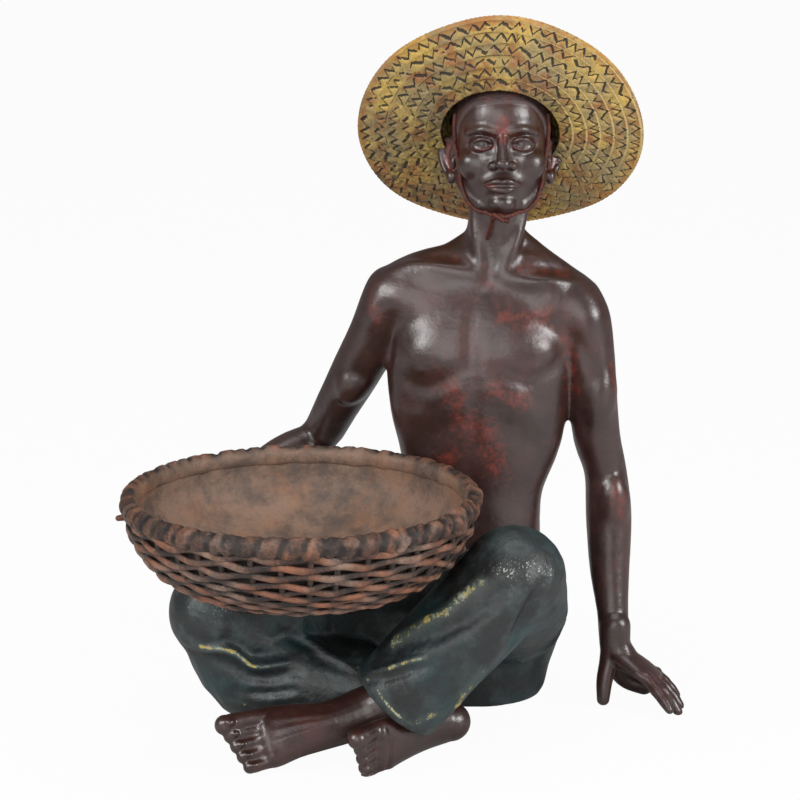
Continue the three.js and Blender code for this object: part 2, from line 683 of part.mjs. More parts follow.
function headShape() {
  const skull = limb(
    [
      [v(0, -12.5, -27.2), 6.5, 4.5],
      [v(0, -10.5, -23), 11.5, 9.5],
      [v(0, -6.5, -16), 15.6, 14],
      [v(0, -3, -8), 18, 17.5],
      [v(0, 0, 0), 19.3, 20.5],
      [v(0, 1.5, 9), 20, 23],
      [v(0, 2.5, 17), 18.6, 21],
      [v(0, 3, 23), 14.5, 16],
      [v(0, 3.5, 26.5), 8.5, 9],
    ],
    {
      sides: 18, steps: 2, crowd: 0.42,
      relief: reliefOf([
        ...pair([20, 4.8, 17, 2.6, 1.0]),
        ...pair([24, 0, 11, 3.2, -2.0]),
        ...pair([42, -6, 15, 4.5, 0.9]),
        ...pair([66, 7, 14, 8, -0.9]),
        [0, -16, 26, 5, 1.6],
        [0, -21.4, 14, 2, -0.9],
        [0, -25.4, 18, 3, 1.3],
      ]),
    },
  );
  const nose = limb(
    [
      [v(0, -18.8, 3.4), 2, 1.8],
      [v(0, -21.2, -2.6), 2.5, 2.4],
      [v(0, -23.6, -8), 3.5, 3],
    ],
    { sides: 8, steps: 1 },
  );
  const mirrored = (make) => join(make(1), make(-1));
  const wings = mirrored((s) => ellipsoid(v(s * 3.7, -21.4, -9.3), v(2.4, 3, 2.2), { around: 7, up: 4 }));
  const eyes = mirrored((s) =>
    ellipsoid(v(s * EYE_SPACING, -15.2, 0.2), v(4.6, 3.9, 3.1), { around: 9, up: 5 }));
  const upperLip = ellipsoid(v(0, -22.2, -16.1), v(6.4, 2.2, 1.5), { around: 8, up: 4 });
  const lowerLip = ellipsoid(v(0, -21.8, -18.8), v(5.4, 2.4, 1.8), { around: 8, up: 4 });
  const ears = mirrored((s) => {
    const tilt = new THREE.Quaternion().setFromEuler(new THREE.Euler(-0.15, 0, -s * 0.4));
    const shell = ellipsoid(v(s * 20.6, 3, -4.5), v(2, 4.6, 7.6), { turn: tilt, around: 9, up: 6 });
    const hollow = ellipsoid(v(s * 22.9, 1.4, -3.6), v(1.9, 2.9, 5), { turn: tilt, around: 7, up: 4 });
    return shell.subtract(hollow);
  });
  return join(skull, nose, wings, eyes, upperLip, lowerLip, ears);
}

const headPlace = new THREE.Matrix4().compose(HEAD_CENTRE, HEAD_TURN, v(1, 1, 1));
const onHead = (x, y, z) => v(x, y, z).applyMatrix4(headPlace);

// Hat: plaited straw sewn in rows, as a turned profile that is then waved, tipped and set on the head.

const CROWN_INSIDE = [72, 40, 8].map(radians);

/** The hat's profile from the outer edge of the brim in, [radius, height] above the crown's mouth. */
function hatProfile() {
  const brimSlope = (radius) => {
    const share = (radius - CROWN_RADIUS) / (BRIM_RADIUS - CROWN_RADIUS);
    return BRIM_LIFT * share ** 1.2;
  };
  const outside = [];
  for (let n = 0; n < BRIM_BRAIDS; n += 1) {
    const outer = BRIM_RADIUS - (n * (BRIM_RADIUS - CROWN_RADIUS)) / BRIM_BRAIDS;
    const inner = BRIM_RADIUS - ((n + 1) * (BRIM_RADIUS - CROWN_RADIUS)) / BRIM_BRAIDS;
    outside.push([outer, brimSlope(outer) + HAT_WALL], [inner + 0.4, brimSlope(inner) + HAT_WALL + BRAID_STEP]);
  }
  for (let n = 0; n < CROWN_BRAIDS; n += 1) {
    const from = radians((90 * n) / CROWN_BRAIDS);
    const to = radians((90 * (n + 1)) / CROWN_BRAIDS - 4);
    const step = CROWN_RADIUS + HAT_WALL;
    outside.push(
      [(step + 0.3) * Math.cos(from) ** 0.7, HAT_WALL + CROWN_DEPTH * Math.sin(from)],
      [(step + BRAID_STEP * 0.6) * Math.cos(to) ** 0.7, HAT_WALL + CROWN_DEPTH * Math.sin(to)],
    );
  }
  const inside = [];
  for (const angle of CROWN_INSIDE) {
    inside.push([CROWN_RADIUS * Math.cos(angle) ** 0.7, CROWN_DEPTH * Math.sin(angle)]);
  }
  for (let n = BRIM_BRAIDS; n > 0; n -= 1) {
    const inner = BRIM_RADIUS - (n * (BRIM_RADIUS - CROWN_RADIUS)) / BRIM_BRAIDS;
    const outer = BRIM_RADIUS - ((n - 1) * (BRIM_RADIUS - CROWN_RADIUS)) / BRIM_BRAIDS;
    inside.push([inner, brimSlope(inner)], [outer - 0.4, brimSlope(outer) + BRAID_STEP]);
  }
  return [...outside, [0, HAT_WALL + CROWN_DEPTH], [0, CROWN_DEPTH], ...inside];
}

/** The same profile in few points and with a gap round it, for the head to be cut back from. */
function hatClearance(gap) {
  const wall = HAT_WALL + BRAID_STEP + gap;
  const crown = (thick) => (a) => [(CROWN_RADIUS + thick) * Math.cos(a) ** 0.7, (CROWN_DEPTH + thick) * Math.sin(a)];
  return [
    [BRIM_RADIUS + gap, BRIM_LIFT - gap],
    [BRIM_RADIUS + gap, BRIM_LIFT + wall],
    [CROWN_RADIUS + wall, wall],
    ...[15, 35, 55, 75].map(radians).map(crown(wall)),
    [0, CROWN_DEPTH + wall],
    [0, CROWN_DEPTH - gap],
    ...CROWN_INSIDE.map(crown(-gap * 2)),
    [CROWN_RADIUS - gap * 2, -gap],
  ];
}

const HAT_MOUTH = onHead(-0.4, -3.5, 4.2);
const HAT_TURN = new THREE.Quaternion()
  .setFromEuler(new THREE.Euler(-radians(HAT_TILT), radians(HAT_ROLL), 0, "YXZ"));

/** A turned profile of the hat, closed, waved at the brim and set on the head. */
function hat(corners, segments) {
  const profile = corners.map(([r, h]) => new THREE.Vector2(r, h));
  profile.push(profile[0].clone());
  const shape = new THREE.LatheGeometry(profile, segments);
  shape.rotateX(Math.PI / 2);
  const points = shape.getAttribute("position");
  for (let i = 0; i < points.count; i += 1) {
    const p = v(points.getX(i), points.getY(i), points.getZ(i));
    const radius = Math.hypot(p.x, p.y);
    const share = Math.max(0, (radius - CROWN_RADIUS) / (BRIM_RADIUS - CROWN_RADIUS));
    const bearing = Math.atan2(p.y, p.x);
    p.z -= BRIM_WAVE * share * (Math.cos(2 * bearing + 0.2) + 0.2 * Math.cos(3 * bearing + 1));
    p.applyQuaternion(HAT_TURN).add(HAT_MOUTH);
    points.setXYZ(i, p.x, p.y, p.z);
  }
  return solid(shape);
}

// Chin cord: from under the hat at each temple, down before the ears and round the jaw to a knot.

function cordRun(points, radius, grow) {
  return limb(
    points.map((p) => [p, radius + grow, radius + grow]),
    { side: v(0.2, 1, 0.1), sides: 5, steps: 1 },
  );
}

function chinCord(grow = 0) {
  const knot = onHead(-1.2, -16, -29.2);
  const loop = cordRun(
    [
      onHead(-19.8, -7.5, 12), onHead(-20.4, -7, 4), onHead(-19.4, -6, -6), onHead(-16.8, -7.6, -16),
      onHead(-11.5, -11, -24.4), onHead(-5, -15, -28.6), knot, onHead(4, -15, -28.8),
      onHead(11.5, -11, -24.4), onHead(16.8, -7.6, -16), onHead(19.4, -6, -6), onHead(20.4, -7, 4),
      onHead(19.8, -7.5, 12),
    ],
    CORD_RADIUS, grow,
  );
  const ball = ellipsoid(knot, v(2.6 + grow, 2 + grow, 1.9 + grow), { around: 10, up: 6 });
  const tailA = cordRun(
    [knot, onHead(-5, -14.8, -32), onHead(-6.4, -11.8, -36), onHead(-6.6, -10, -41)], CORD_RADIUS, grow);
  const tailB = cordRun([knot, onHead(2.4, -14.5, -31.5), onHead(3.6, -12.6, -35)], CORD_RADIUS, grow);
  return join(loop, ball, tailA, tailB);
}

// Joints between the castings: flat faces, each with a dowel across it.

const NECK_JOINT = NECK_ROOT.clone().lerp(NECK_TOP, 0.4);
const NECK_AXIS = towards(NECK_ROOT, NECK_TOP);
const LEFT_ARM_AXIS = v(1, 0, 0.12).normalize();
const LEFT_ARM_JOINT = v(38.5, 3, 167);
const RIGHT_ARM_AXIS = v(-1, 0.08, 0.14).normalize();
const RIGHT_ARM_JOINT = v(-34.5, 8, 173);
const ARMPIT_HEIGHT = 146;

/** A solid on the far side of a joint, half a fit gap clear of its plane. */
const beyondJoint = (whole, joint, axis) =>
  whole.intersect(halfSpace(joint.clone().addScaledVector(axis, FIT_GAP / 2), axis));
const beforeJoint = (whole, joint, axis) => beyondJoint(whole, joint, axis.clone().negate());

const HAT_DOWEL_AXIS = v(0, 0, 1).applyQuaternion(HAT_TURN);
const HAT_DOWEL_CENTRE = HAT_MOUTH.clone().addScaledVector(HAT_DOWEL_AXIS, CROWN_DEPTH - DOWEL_LENGTH / 2 + 1);
const BASKET_DOWEL_CENTRE = v(-95, -50, BASKET_BASE_Z + BASKET_FLOOR - DOWEL_LENGTH / 2 - 1.2);
const DOWELS = {
  neck_dowel: [NECK_JOINT, NECK_AXIS],
  left_shoulder_dowel: [LEFT_ARM_JOINT, LEFT_ARM_AXIS],
  right_shoulder_dowel: [RIGHT_ARM_JOINT, RIGHT_ARM_AXIS],
  waist_dowel: [WAIST_CENTRE, v(0, 0, 1)],
  hat_dowel: [HAT_DOWEL_CENTRE, HAT_DOWEL_AXIS],
  basket_dowel: [BASKET_DOWEL_CENTRE, v(0, 0, 1)],
};
const dowelHoles = Object.fromEntries(
  Object.entries(DOWELS).map(([name, [centre, axis]]) => [name, dowel(centre, axis, FIT_GAP)]),
);

// Castings, each cut back from its neighbours.

const envelope = basketEnvelope(FIT_GAP);
const bowl = cut(basketBowl(), dowelHoles.basket_dowel);
const rim = basketRim();
const straw = cut(hat(hatProfile(), HAT_SIDES), dowelHoles.hat_dowel);
const cord = chinCord();

/** The flank of the torso under an armpit, that an arm hangs clear of. */
const flank = torsoShape(FIT_GAP).subtract(above(ARMPIT_HEIGHT + FIT_GAP));
const shoulders = torsoShape().intersect(above(ARMPIT_HEIGHT));

/** An arm up to its shoulder joint, with the part of the shoulders that lies beyond the joint. */
const armCasting = (whole, joint, axis) =>
  cut(
    join(whole, beyondJoint(shoulders, joint, axis)),
    halfSpace(joint.clone().addScaledVector(axis, FIT_GAP / 2), axis.clone().negate())
      .intersect(above(ARMPIT_HEIGHT - FIT_GAP)),
    flank,
  );

const leftArmWhole = leftArmShape();
const rightArmWhole = rightArmShape();
const leftArm = cut(
  armCasting(leftArmWhole, LEFT_ARM_JOINT, LEFT_ARM_AXIS), dowelHoles.left_shoulder_dowel,
);
const rightArm = cut(
  armCasting(rightArmWhole, RIGHT_ARM_JOINT, RIGHT_ARM_AXIS), dowelHoles.right_shoulder_dowel, envelope,
);

/** What a torso gives up beyond a shoulder joint. */
const shoulderCut = (joint, axis) =>
  halfSpace(joint.clone().addScaledVector(axis, -FIT_GAP / 2), axis).intersect(above(ARMPIT_HEIGHT));

const bust = join(
  torsoShape(),
  beforeJoint(leftArmWhole, LEFT_ARM_JOINT, LEFT_ARM_AXIS).intersect(above(ARMPIT_HEIGHT)),
  beforeJoint(rightArmWhole, RIGHT_ARM_JOINT, RIGHT_ARM_AXIS).intersect(above(ARMPIT_HEIGHT)),
);
const torso = cut(
  beforeJoint(bust, NECK_JOINT, NECK_AXIS).intersect(above(WAIST_HEIGHT + FIT_GAP)),
  shoulderCut(LEFT_ARM_JOINT, LEFT_ARM_AXIS), shoulderCut(RIGHT_ARM_JOINT, RIGHT_ARM_AXIS),
  ...Object.values(dowelHoles), chinCord(FIT_GAP), envelope,
);

const head = cut(
  beyondJoint(join(placed(headShape(), headPlace), torsoShape()), NECK_JOINT, NECK_AXIS),
  hat(hatClearance(FIT_GAP), HAT_SIDES), chinCord(FIT_GAP), dowelHoles.neck_dowel, dowelHoles.hat_dowel,
);

const rightFootWhole = cutBelow(rightFoot(), TABLE_GAP);
const leftFootWhole = cut(cutBelow(leftFoot(), TABLE_GAP), rightFoot(FIT_GAP));
const legs = cut(
  trousers().intersect(above(CAST_BASE)),
  envelope, leftFoot(FIT_GAP, false), rightFoot(FIT_GAP, false), dowelHoles.waist_dowel, dowelHoles.basket_dowel,
  torsoShape(FIT_GAP).intersect(above(WAIST_HEIGHT)),
);

/** A felt pad: a thin oval on the table. */
function feltPad(centre, wide, deep) {
  const oval = new THREE.CylinderGeometry(1, 1, FELT_THICKNESS, 24);
  oval.rotateX(Math.PI / 2);
  oval.scale(wide, deep, 1);
  oval.translate(centre.x, centre.y, FELT_THICKNESS / 2);
  return solid(oval);
}

const figurine = new THREE.Group();
figurine.add(
  meshOf("torso", torso, materials.skin),
  meshOf("head", head, materials.skin),
  meshOf("left_arm", leftArm, materials.skin),
  meshOf("right_arm", rightArm, materials.skin),
  meshOf("trousers", legs, materials.trousers),
  meshOf("left_foot", leftFootWhole, materials.skin),
  meshOf("right_foot", rightFootWhole, materials.skin),
  meshOf("hat", straw, materials.straw),
  meshOf("chin_cord", cord, materials.cord),
  meshOf("basket_bowl", bowl, materials.wicker),
  meshOf("basket_rim", rim, materials.wicker),
  meshOf("seat_pad", feltPad(v(0, 6, 0), 24, 18), materials.felt),
  meshOf("leg_pad", feltPad(v(-80, -40, 0), 14, 9), materials.felt),
);
for (const [name, [centre, axis]] of Object.entries(DOWELS)) {
  figurine.add(meshOf(name, dowel(centre, axis), materials.steel));
}

export default figurine;
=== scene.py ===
# %% [markdown]
# # A seated peasant figurine in painted resin
#
# The object is a table ornament about 300 mm tall: a man in a wide straw hat and baggy trousers, who
# leans on his left hand and steadies a woven basket on his folded legs. It is cast resin, painted
# dark, rubbed red-brown in the hollows of the skin and cream on the folds of the cloth.
#
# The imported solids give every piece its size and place. Each shown piece is then modelled over its
# solid: the body and the trousers as clay, the hat as a turned and plaited shell, and the basket as
# a turned bowl with woven canes.

import math

import bmesh
import bpy
import numpy as np
from mathutils import Matrix, Vector
from mathutils.bvhtree import BVHTree


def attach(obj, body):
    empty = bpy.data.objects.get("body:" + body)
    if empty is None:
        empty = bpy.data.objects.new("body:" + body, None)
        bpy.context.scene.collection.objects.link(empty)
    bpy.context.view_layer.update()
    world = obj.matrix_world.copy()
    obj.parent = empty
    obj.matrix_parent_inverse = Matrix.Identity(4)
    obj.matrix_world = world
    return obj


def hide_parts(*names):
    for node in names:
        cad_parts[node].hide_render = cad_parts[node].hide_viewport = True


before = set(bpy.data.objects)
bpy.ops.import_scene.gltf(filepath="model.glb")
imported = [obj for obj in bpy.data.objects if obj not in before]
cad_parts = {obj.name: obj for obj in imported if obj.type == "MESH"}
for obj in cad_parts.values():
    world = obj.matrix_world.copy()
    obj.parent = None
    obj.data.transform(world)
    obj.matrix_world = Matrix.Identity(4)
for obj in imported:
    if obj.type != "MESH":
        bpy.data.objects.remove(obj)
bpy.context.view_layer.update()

# %% [markdown]
# ## Camera, floor and light
#
# The figurine was photographed from the front and a little above, with a long lens. The floor is a
# pale sweep. It is seen almost white, as a lit studio sweep is, but it keeps a part of the shadow.
# Two wide soft lamps stand left and right of the camera, because the skin shows a soft highlight on
# both sides. A third one lights the top of the hat and the shoulders, and a weaker one beside the
# camera gives the chest its wide sheen.

# %% Camera
MM = 0.001
VIEW_CENTRE = Vector((-32, 0, 131.7)) * MM
VIEW_DISTANCE = 1300 * MM
VIEW_ELEVATION = math.radians(14)

camera_data = bpy.data.cameras.new("camera")
camera = bpy.data.objects.new("camera", camera_data)
bpy.context.scene.collection.objects.link(camera)
camera.location = VIEW_CENTRE + VIEW_DISTANCE * Vector(
    (0, -math.cos(VIEW_ELEVATION), math.sin(VIEW_ELEVATION))
)
camera.rotation_euler = (math.radians(90) - VIEW_ELEVATION, 0, 0)
camera_data.sensor_width = 36
camera_data.lens = 138.06
camera_data.clip_start = 0.05
bpy.context.scene.camera = camera
print("camera at", [round(c, 3) for c in camera.location])

# %% Shader maths: a number that varies over a surface, and a material under construction


class Value:
    """A number or colour that varies over a surface, on which sums are written as in Python."""

    def __init__(self, finish, socket):
        self.finish = finish
        self.socket = socket

    def maths(self, operation, *terms):
        return self.finish.add("ShaderNodeMath", {"operation": operation}, dict(enumerate(terms)))

    def __add__(self, other):
        return self.maths("ADD", self, other)

    def __sub__(self, other):
        return self.maths("SUBTRACT", self, other)

    def __rsub__(self, other):
        return self.maths("SUBTRACT", other, self)

    def __mul__(self, other):
        return self.maths("MULTIPLY", self, other)

    def __truediv__(self, other):
        return self.maths("DIVIDE", self, other)

    __radd__ = __add__
    __rmul__ = __mul__


class Finish:
    """A material or a world under construction. Any node is added by its one method, add."""

    def __init__(self, name, world=None):
        self.material = world or bpy.data.materials.new(name)
        self.material.use_nodes = True
        self.tree = self.material.node_tree
        self.tree.nodes.clear()

    def add(self, kind, settings=None, sockets=None, out=0):
        node = self.tree.nodes.new(kind)
        for name, setting in (settings or {}).items():
            setattr(node, name, setting)
        for name, value in (sockets or {}).items():
            if isinstance(value, Value):
                self.tree.links.new(value.socket, node.inputs[name])
            else:
                node.inputs[name].default_value = value
        return Value(self, node.outputs[out]) if node.outputs else None

    def ends_in(self, shader):
        self.add("ShaderNodeOutputMaterial", {}, {"Surface": shader})
        return self.material


def paint(code):
    """The linear colour of a paint that is named by its screen code, such as 3a2524."""
    channels = [int(code[i : i + 2], 16) / 255 for i in (0, 2, 4)]
    return tuple(c / 12.92 if c <= 0.04045 else ((c + 0.055) / 1.055) ** 2.4 for c in channels)


def blend(finish, share, first, second):
    """A colour that goes from the first to the second as the share goes from 0 to 1."""
    as_colour = lambda c: (*c, 1) if isinstance(c, tuple) else c
    sockets = {0: share, 6: as_colour(first), 7: as_colour(second)}
    return finish.add("ShaderNodeMix", {"data_type": "RGBA"}, sockets, out=2)


def places(finish):
    """Object coordinates: the same in metres on every piece, because all pieces lie at the origin."""
    return finish.add("ShaderNodeTexCoord", {}, {}, out="Object")


def clouds(finish, size, detail=4.0, rough=0.55, shift=0.0):
    """Soft noise from 0 to 1, whose blotches are about a size in millimetres across."""
    mapped = finish.add("ShaderNodeMapping", {}, {"Vector": places(finish), "Location": (shift, shift, 0)})
    sockets = {"Vector": mapped, "Scale": 1 / (size * MM), "Detail": detail, "Roughness": rough}
    return finish.add("ShaderNodeTexNoise", {}, sockets)


def spread(finish, value, low, high):
    """Stretches a value so that low becomes 0 and high becomes 1, and no less or more."""
    sockets = {"Value": value, "From Min": low, "From Max": high}
    return finish.add("ShaderNodeMapRange", {"interpolation_type": "SMOOTHSTEP"}, sockets)


def stored(finish, name):
    """A number that is stored on the points of the piece."""
    return finish.add("ShaderNodeAttribute", {"attribute_name": name}, {}, out="Fac")


def bumps(finish, height, depth):
    """Small bumps, whose depth is given in millimetres."""
    return finish.add("ShaderNodeBump", {}, {"Height": height, "Distance": depth * MM, "Strength": 1.0})


def patchy(finish, low, high, *noise):
    """Patches of soft noise, cut at low and high, so that they stand clear of each other."""
    return spread(finish, clouds(finish, *noise), low, high)


def coat(finish, colour, rough, height, depth, shine=0.5):
    """Ends a material in a coat of paint, with small bumps whose depth is in millimetres."""
    sockets = {
        "Base Color": colour, "Roughness": rough, "Normal": bumps(finish, height, depth),
        "Specular IOR Level": shine
    }
    return finish.ends_in(finish.add("ShaderNodeBsdfPrincipled", {}, sockets))


print("shader helpers ready")

# %% Floor and background
bpy.ops.mesh.primitive_plane_add(size=8)
floor = bpy.context.object
floor.name = "floor"

sweep = Finish("white_sweep")
ray = sweep.add("ShaderNodeLightPath", {}, {}, out="Is Camera Ray")
lit = sweep.add("ShaderNodeBsdfDiffuse", {}, {"Color": (0.66, 0.66, 0.66, 1)})
white = sweep.add("ShaderNodeEmission", {}, {"Color": (1, 1, 1, 1), "Strength": 1.0})
floor.data.materials.append(
    sweep.ends_in(sweep.add("ShaderNodeMixShader", {}, {0: ray * 0.96, 1: lit, 2: white}))
)

world = bpy.data.worlds.new("studio")
bpy.context.scene.world = world
sky = Finish("studio", world)
ray = sky.add("ShaderNodeLightPath", {}, {}, out="Is Camera Ray")
level = 0.22 + 0.78 * ray
air = sky.add("ShaderNodeBackground", {}, {"Color": (1, 1, 1, 1), "Strength": level})
sky.add("ShaderNodeOutputWorld", {}, {"Surface": air})

# %% Lamps


def soft_lamp(name, place, aim, size, power):
    """A square soft lamp at a place, in metres, that faces a point."""
    data = bpy.data.lights.new(name, "AREA")
    data.size = size
    data.energy = power
    lamp = bpy.data.objects.new(name, data)
    bpy.context.scene.collection.objects.link(lamp)
    lamp.location = place
    lamp.rotation_euler = (Vector(aim) - Vector(place)).to_track_quat("-Z", "Y").to_euler()


BODY_CENTRE = (-0.01, -0.02, 0.15)
soft_lamp("left_lamp", (-0.95, -0.75, 0.75), BODY_CENTRE, 0.5, 9.0)
soft_lamp("right_lamp", (0.95, -0.6, 0.55), BODY_CENTRE, 0.45, 9.0)
soft_lamp("top_lamp", (0.0, -0.1, 1.3), BODY_CENTRE, 0.8, 4.5)
soft_lamp("front_lamp", (-0.2, -1.3, 0.55), BODY_CENTRE, 0.9, 5.6)

scene = bpy.context.scene
scene.view_settings.view_transform = "Standard"
print("lamps: 4")

# %% [markdown]
# ## Clay
#
# A cast figure starts as clay: rolled limbs and pressed balls, worked into one skin, into which the
# maker then presses creases and raises ridges. The same is done here. A limb is a circle that is
# extruded from station to station. Lumps are joined and made one skin by a voxel remesh, which also
# closes the seams between them, and are softened by a Smooth modifier. Lofts alone would leave hard
# seams at the armpits and between the fingers, and a sculpt brush needs a window.

# %% Rolled limbs


def pick(*pieces):
    """Selects these pieces and no others, and works on the first of them."""
    bpy.ops.object.select_all(action="DESELECT")
    for piece in pieces:
        piece.select_set(True)
    if pieces:
        bpy.context.view_layer.objects.active = pieces[0]


def unit(vector):
    return vector / np.linalg.norm(vector)


def smooth_path(points, steps):
    """Points on a smooth curve through rows of numbers, with steps between each two rows."""
    rows = np.asarray(points, float)
    padded = np.vstack([2 * rows[0] - rows[1], rows, 2 * rows[-1] - rows[-2]])
    out = []
    for i in range(len(rows) - 1):
        a, b, c, d = padded[i : i + 4]
        for t in np.arange(steps) / steps:
            cubic = (2 * a - 5 * b + 4 * c - d) * t**2 + (3 * b - a - 3 * c + d) * t**3
            out.append(0.5 * (2 * b + (c - a) * t + cubic))
    out.append(rows[-1])
    return np.array(out)


def limb_rings(stations, side, sides, steps, round_ends):
    """The rings of a limb through stations [centre, half width, half depth], in millimetres."""
    rows = smooth_path([[*centre, wide, deep] for centre, wide, deep in stations], steps)
    centres, sizes = rows[:, :3], rows[:, 3:]
    along = np.gradient(centres, axis=0)
    rings = []
    turns = np.arange(sides) / sides * 2 * math.pi
    places_on_path = [(i, 0.0, 1.0) for i in range(len(rows))]
    dome = [math.radians(a) for a in (80, 60, 40, 20)]
    if round_ends[0]:
        places_on_path = [(0, -math.sin(a), math.cos(a)) for a in dome] + places_on_path
    if round_ends[1]:
        places_on_path += [(len(rows) - 1, math.sin(a), math.cos(a)) for a in dome[::-1]]
    for i, beyond, share in places_on_path:
        way = unit(along[i])
        across = unit(np.asarray(side, float) - np.dot(side, way) * way)
        depth = np.cross(way, across)
        centre = centres[i] + way * beyond * sizes[i].min()
        wide, deep = sizes[i] * share
        rings.append(centre + np.outer(np.sin(turns) * wide, across) - np.outer(np.cos(turns) * deep, depth))
    return rings


def loft(name, rings):
    """Draws a disc round the first ring, and extrudes it through the others."""
    pick()
    bpy.ops.mesh.primitive_circle_add(vertices=len(rings[0]), radius=1, fill_type="NGON")
    piece = bpy.context.object
    piece.name = name
    bpy.ops.object.mode_set(mode="EDIT")
    mesh = bmesh.from_edit_mesh(piece.data)
    mesh.verts.ensure_lookup_table()
    for vert, place in zip(mesh.verts, rings[0] * MM):
        vert.co = place
    for before, ring in zip(rings, rings[1:]):
        bmesh.update_edit_mesh(piece.data)
        bpy.ops.mesh.extrude_region_move()
        mesh = bmesh.from_edit_mesh(piece.data)
        drawn = before * MM
        for vert in [v for v in mesh.verts if v.select]:
            nearest = int(np.argmin(((drawn - np.array(vert.co)) ** 2).sum(axis=1)))
            vert.co = ring[nearest] * MM
    bmesh.update_edit_mesh(piece.data)
    bpy.ops.mesh.select_all(action="SELECT")
    bpy.ops.mesh.normals_make_consistent(inside=False)
    bpy.ops.object.mode_set(mode="OBJECT")
    return piece


def limb(stations, side=(1, 0, 0), sides=20, steps=3, round_ends=(True, True)):
    return loft("clay", limb_rings(stations, side, sides, steps, round_ends))


def roll(points, radius, steps=3, sides=12):
    """A thin roll of clay along points. Its radius is one number, or one for each point."""
    radii = radius if isinstance(radius, (list, tuple)) else [radius] * len(points)
    return limb([(p, r, r) for p, r in zip(points, radii)], (0.3, 0.5, 1), sides, steps)


def ball(centre, radii, turn=(0, 0, 0)):
    """A pressed ball of clay, its radii in millimetres and its turn in degrees."""
    pick()
    bpy.ops.mesh.primitive_uv_sphere_add(
        segments=24, ring_count=16, radius=MM, location=Vector(centre) * MM,
        rotation=[math.radians(a) for a in turn], scale=radii,
    )
    bpy.ops.object.transform_apply(location=True, rotation=True, scale=True)
    return bpy.context.object


def both_sides(make):
    """The same lump on the left and the right of the head."""
    return [make(1), make(-1)]


# %% Working lumps into one skin


def joined(name, lumps):
    pick(*lumps)
    if len(lumps) > 1:
        bpy.ops.object.join()
    lumps[0].name = name
    return lumps[0]


def apply_modifier(piece, kind, **settings):
    modifier = piece.modifiers.new(kind.lower(), kind)
    for name, setting in settings.items():
        setattr(modifier, name, setting)
    pick(piece)
    bpy.ops.object.modifier_apply(modifier=modifier.name)


def knead(name, lumps, grain, soften):
    """Joins lumps and works them into one skin, whose grain is in millimetres."""
    piece = joined(name, lumps)
    apply_modifier(piece, "REMESH", mode="VOXEL", voxel_size=grain * MM, use_smooth_shade=True)
    if soften:
        apply_modifier(piece, "SMOOTH", factor=0.5, iterations=soften)
    print(name, "kneaded:", len(piece.data.polygons), "faces")
    return piece


def duplicate(piece, name):
    copy = bpy.data.objects.new(name, piece.data.copy())
    bpy.context.scene.collection.objects.link(copy)
    return copy


# %% Pressing creases and raising ridges


def read_off(items, name, width=1, kind=float):
    """A row of numbers for each of a mesh's items, such as its points or its edges."""
    flat = np.empty(len(items) * width, kind)
    items.foreach_get(name, flat)
    return flat.reshape(-1, width) if width > 1 else flat


def points_of(piece):
    return read_off(piece.data.vertices, "co", 3)


def normals_of(piece):
    return read_off(piece.data.vertices, "normal", 3)


def set_points(piece, points):
    piece.data.vertices.foreach_set("co", points.ravel())
    piece.data.update()


def reach_to(points, line):
    """How far each point is from a line through places, and how far along it the nearest one is."""
    best = np.full(len(points), 1e9)
    share = np.zeros(len(points))
    spans = len(line) - 1
    for i, (a, b) in enumerate(zip(line, line[1:])):
        a, b = np.asarray(a, float), np.asarray(b, float)
        t = np.clip(((points - a) @ (b - a)) / max(np.dot(b - a, b - a), 1e-9), 0, 1)
        far = np.linalg.norm(points - (a + t[:, None] * (b - a)), axis=1)
        closer = far < best
        best[closer] = far[closer]
        share[closer] = (i + t[closer]) / spans
    return best, share


def press(piece, strokes):
    """
    Moves the skin along its normals by strokes [line, lift, width], in millimetres. A stroke fades
    towards its ends. A lift above 0 raises a ridge, and one below 0 presses a crease.
    """
    points = points_of(piece) / MM
    normals = normals_of(piece)
    lift_all = np.zeros(len(points))
    for line, lift, width in strokes:
        line = smooth_path(line, 4) if len(line) > 2 else np.asarray(line, float)
        far, share = reach_to(points, line)
        fade = np.sqrt(np.clip(np.sin(np.pi * (0.08 + 0.84 * share)), 0, 1))
        lift_all += lift * np.exp(-((far / width) ** 2)) * fade
    set_points(piece, (points + normals * lift_all[:, None]) * MM)


def dab(piece, dabs):
    """Moves the skin along its normals near single places [place, lift, width], in millimetres."""
    points = points_of(piece) / MM
    normals = normals_of(piece)
    lift_all = np.zeros(len(points))
    for place, lift, width in dabs:
        far = np.linalg.norm(points - np.asarray(place, float), axis=1)
        lift_all += lift * np.exp(-((far / width) ** 2))
    set_points(piece, (points + normals * lift_all[:, None]) * MM)


def neighbour_mean(piece, points, rounds):
    """The points after each has moved to the middle of its neighbours, some rounds over."""
    a, b = read_off(piece.data.edges, "vertices", 2, np.int64).T
    count = np.bincount(a, minlength=len(points)) + np.bincount(b, minlength=len(points))
    for _ in range(rounds):
        total = [
            np.bincount(a, points[b, k], len(points)) + np.bincount(b, points[a, k], len(points))
            for k in range(3)
        ]
        points = 0.5 * points + 0.5 * np.stack(total, axis=1) / np.maximum(count, 1)[:, None]
    return points


def store(piece, name, values):
    layer = piece.data.attributes.new(name, "FLOAT", "POINT")
    layer.data.foreach_set("value", values.astype(np.float32))


def store_hollows(piece, rounds=24):
    """Stores how deep each point lies under the softened skin, in millimetres, and so where wear shows."""
    points = points_of(piece)
    softened = neighbour_mean(piece, points, rounds)
    depth = ((softened - points) * normals_of(piece)).sum(axis=1) / MM
    store(piece, "hollow", depth)


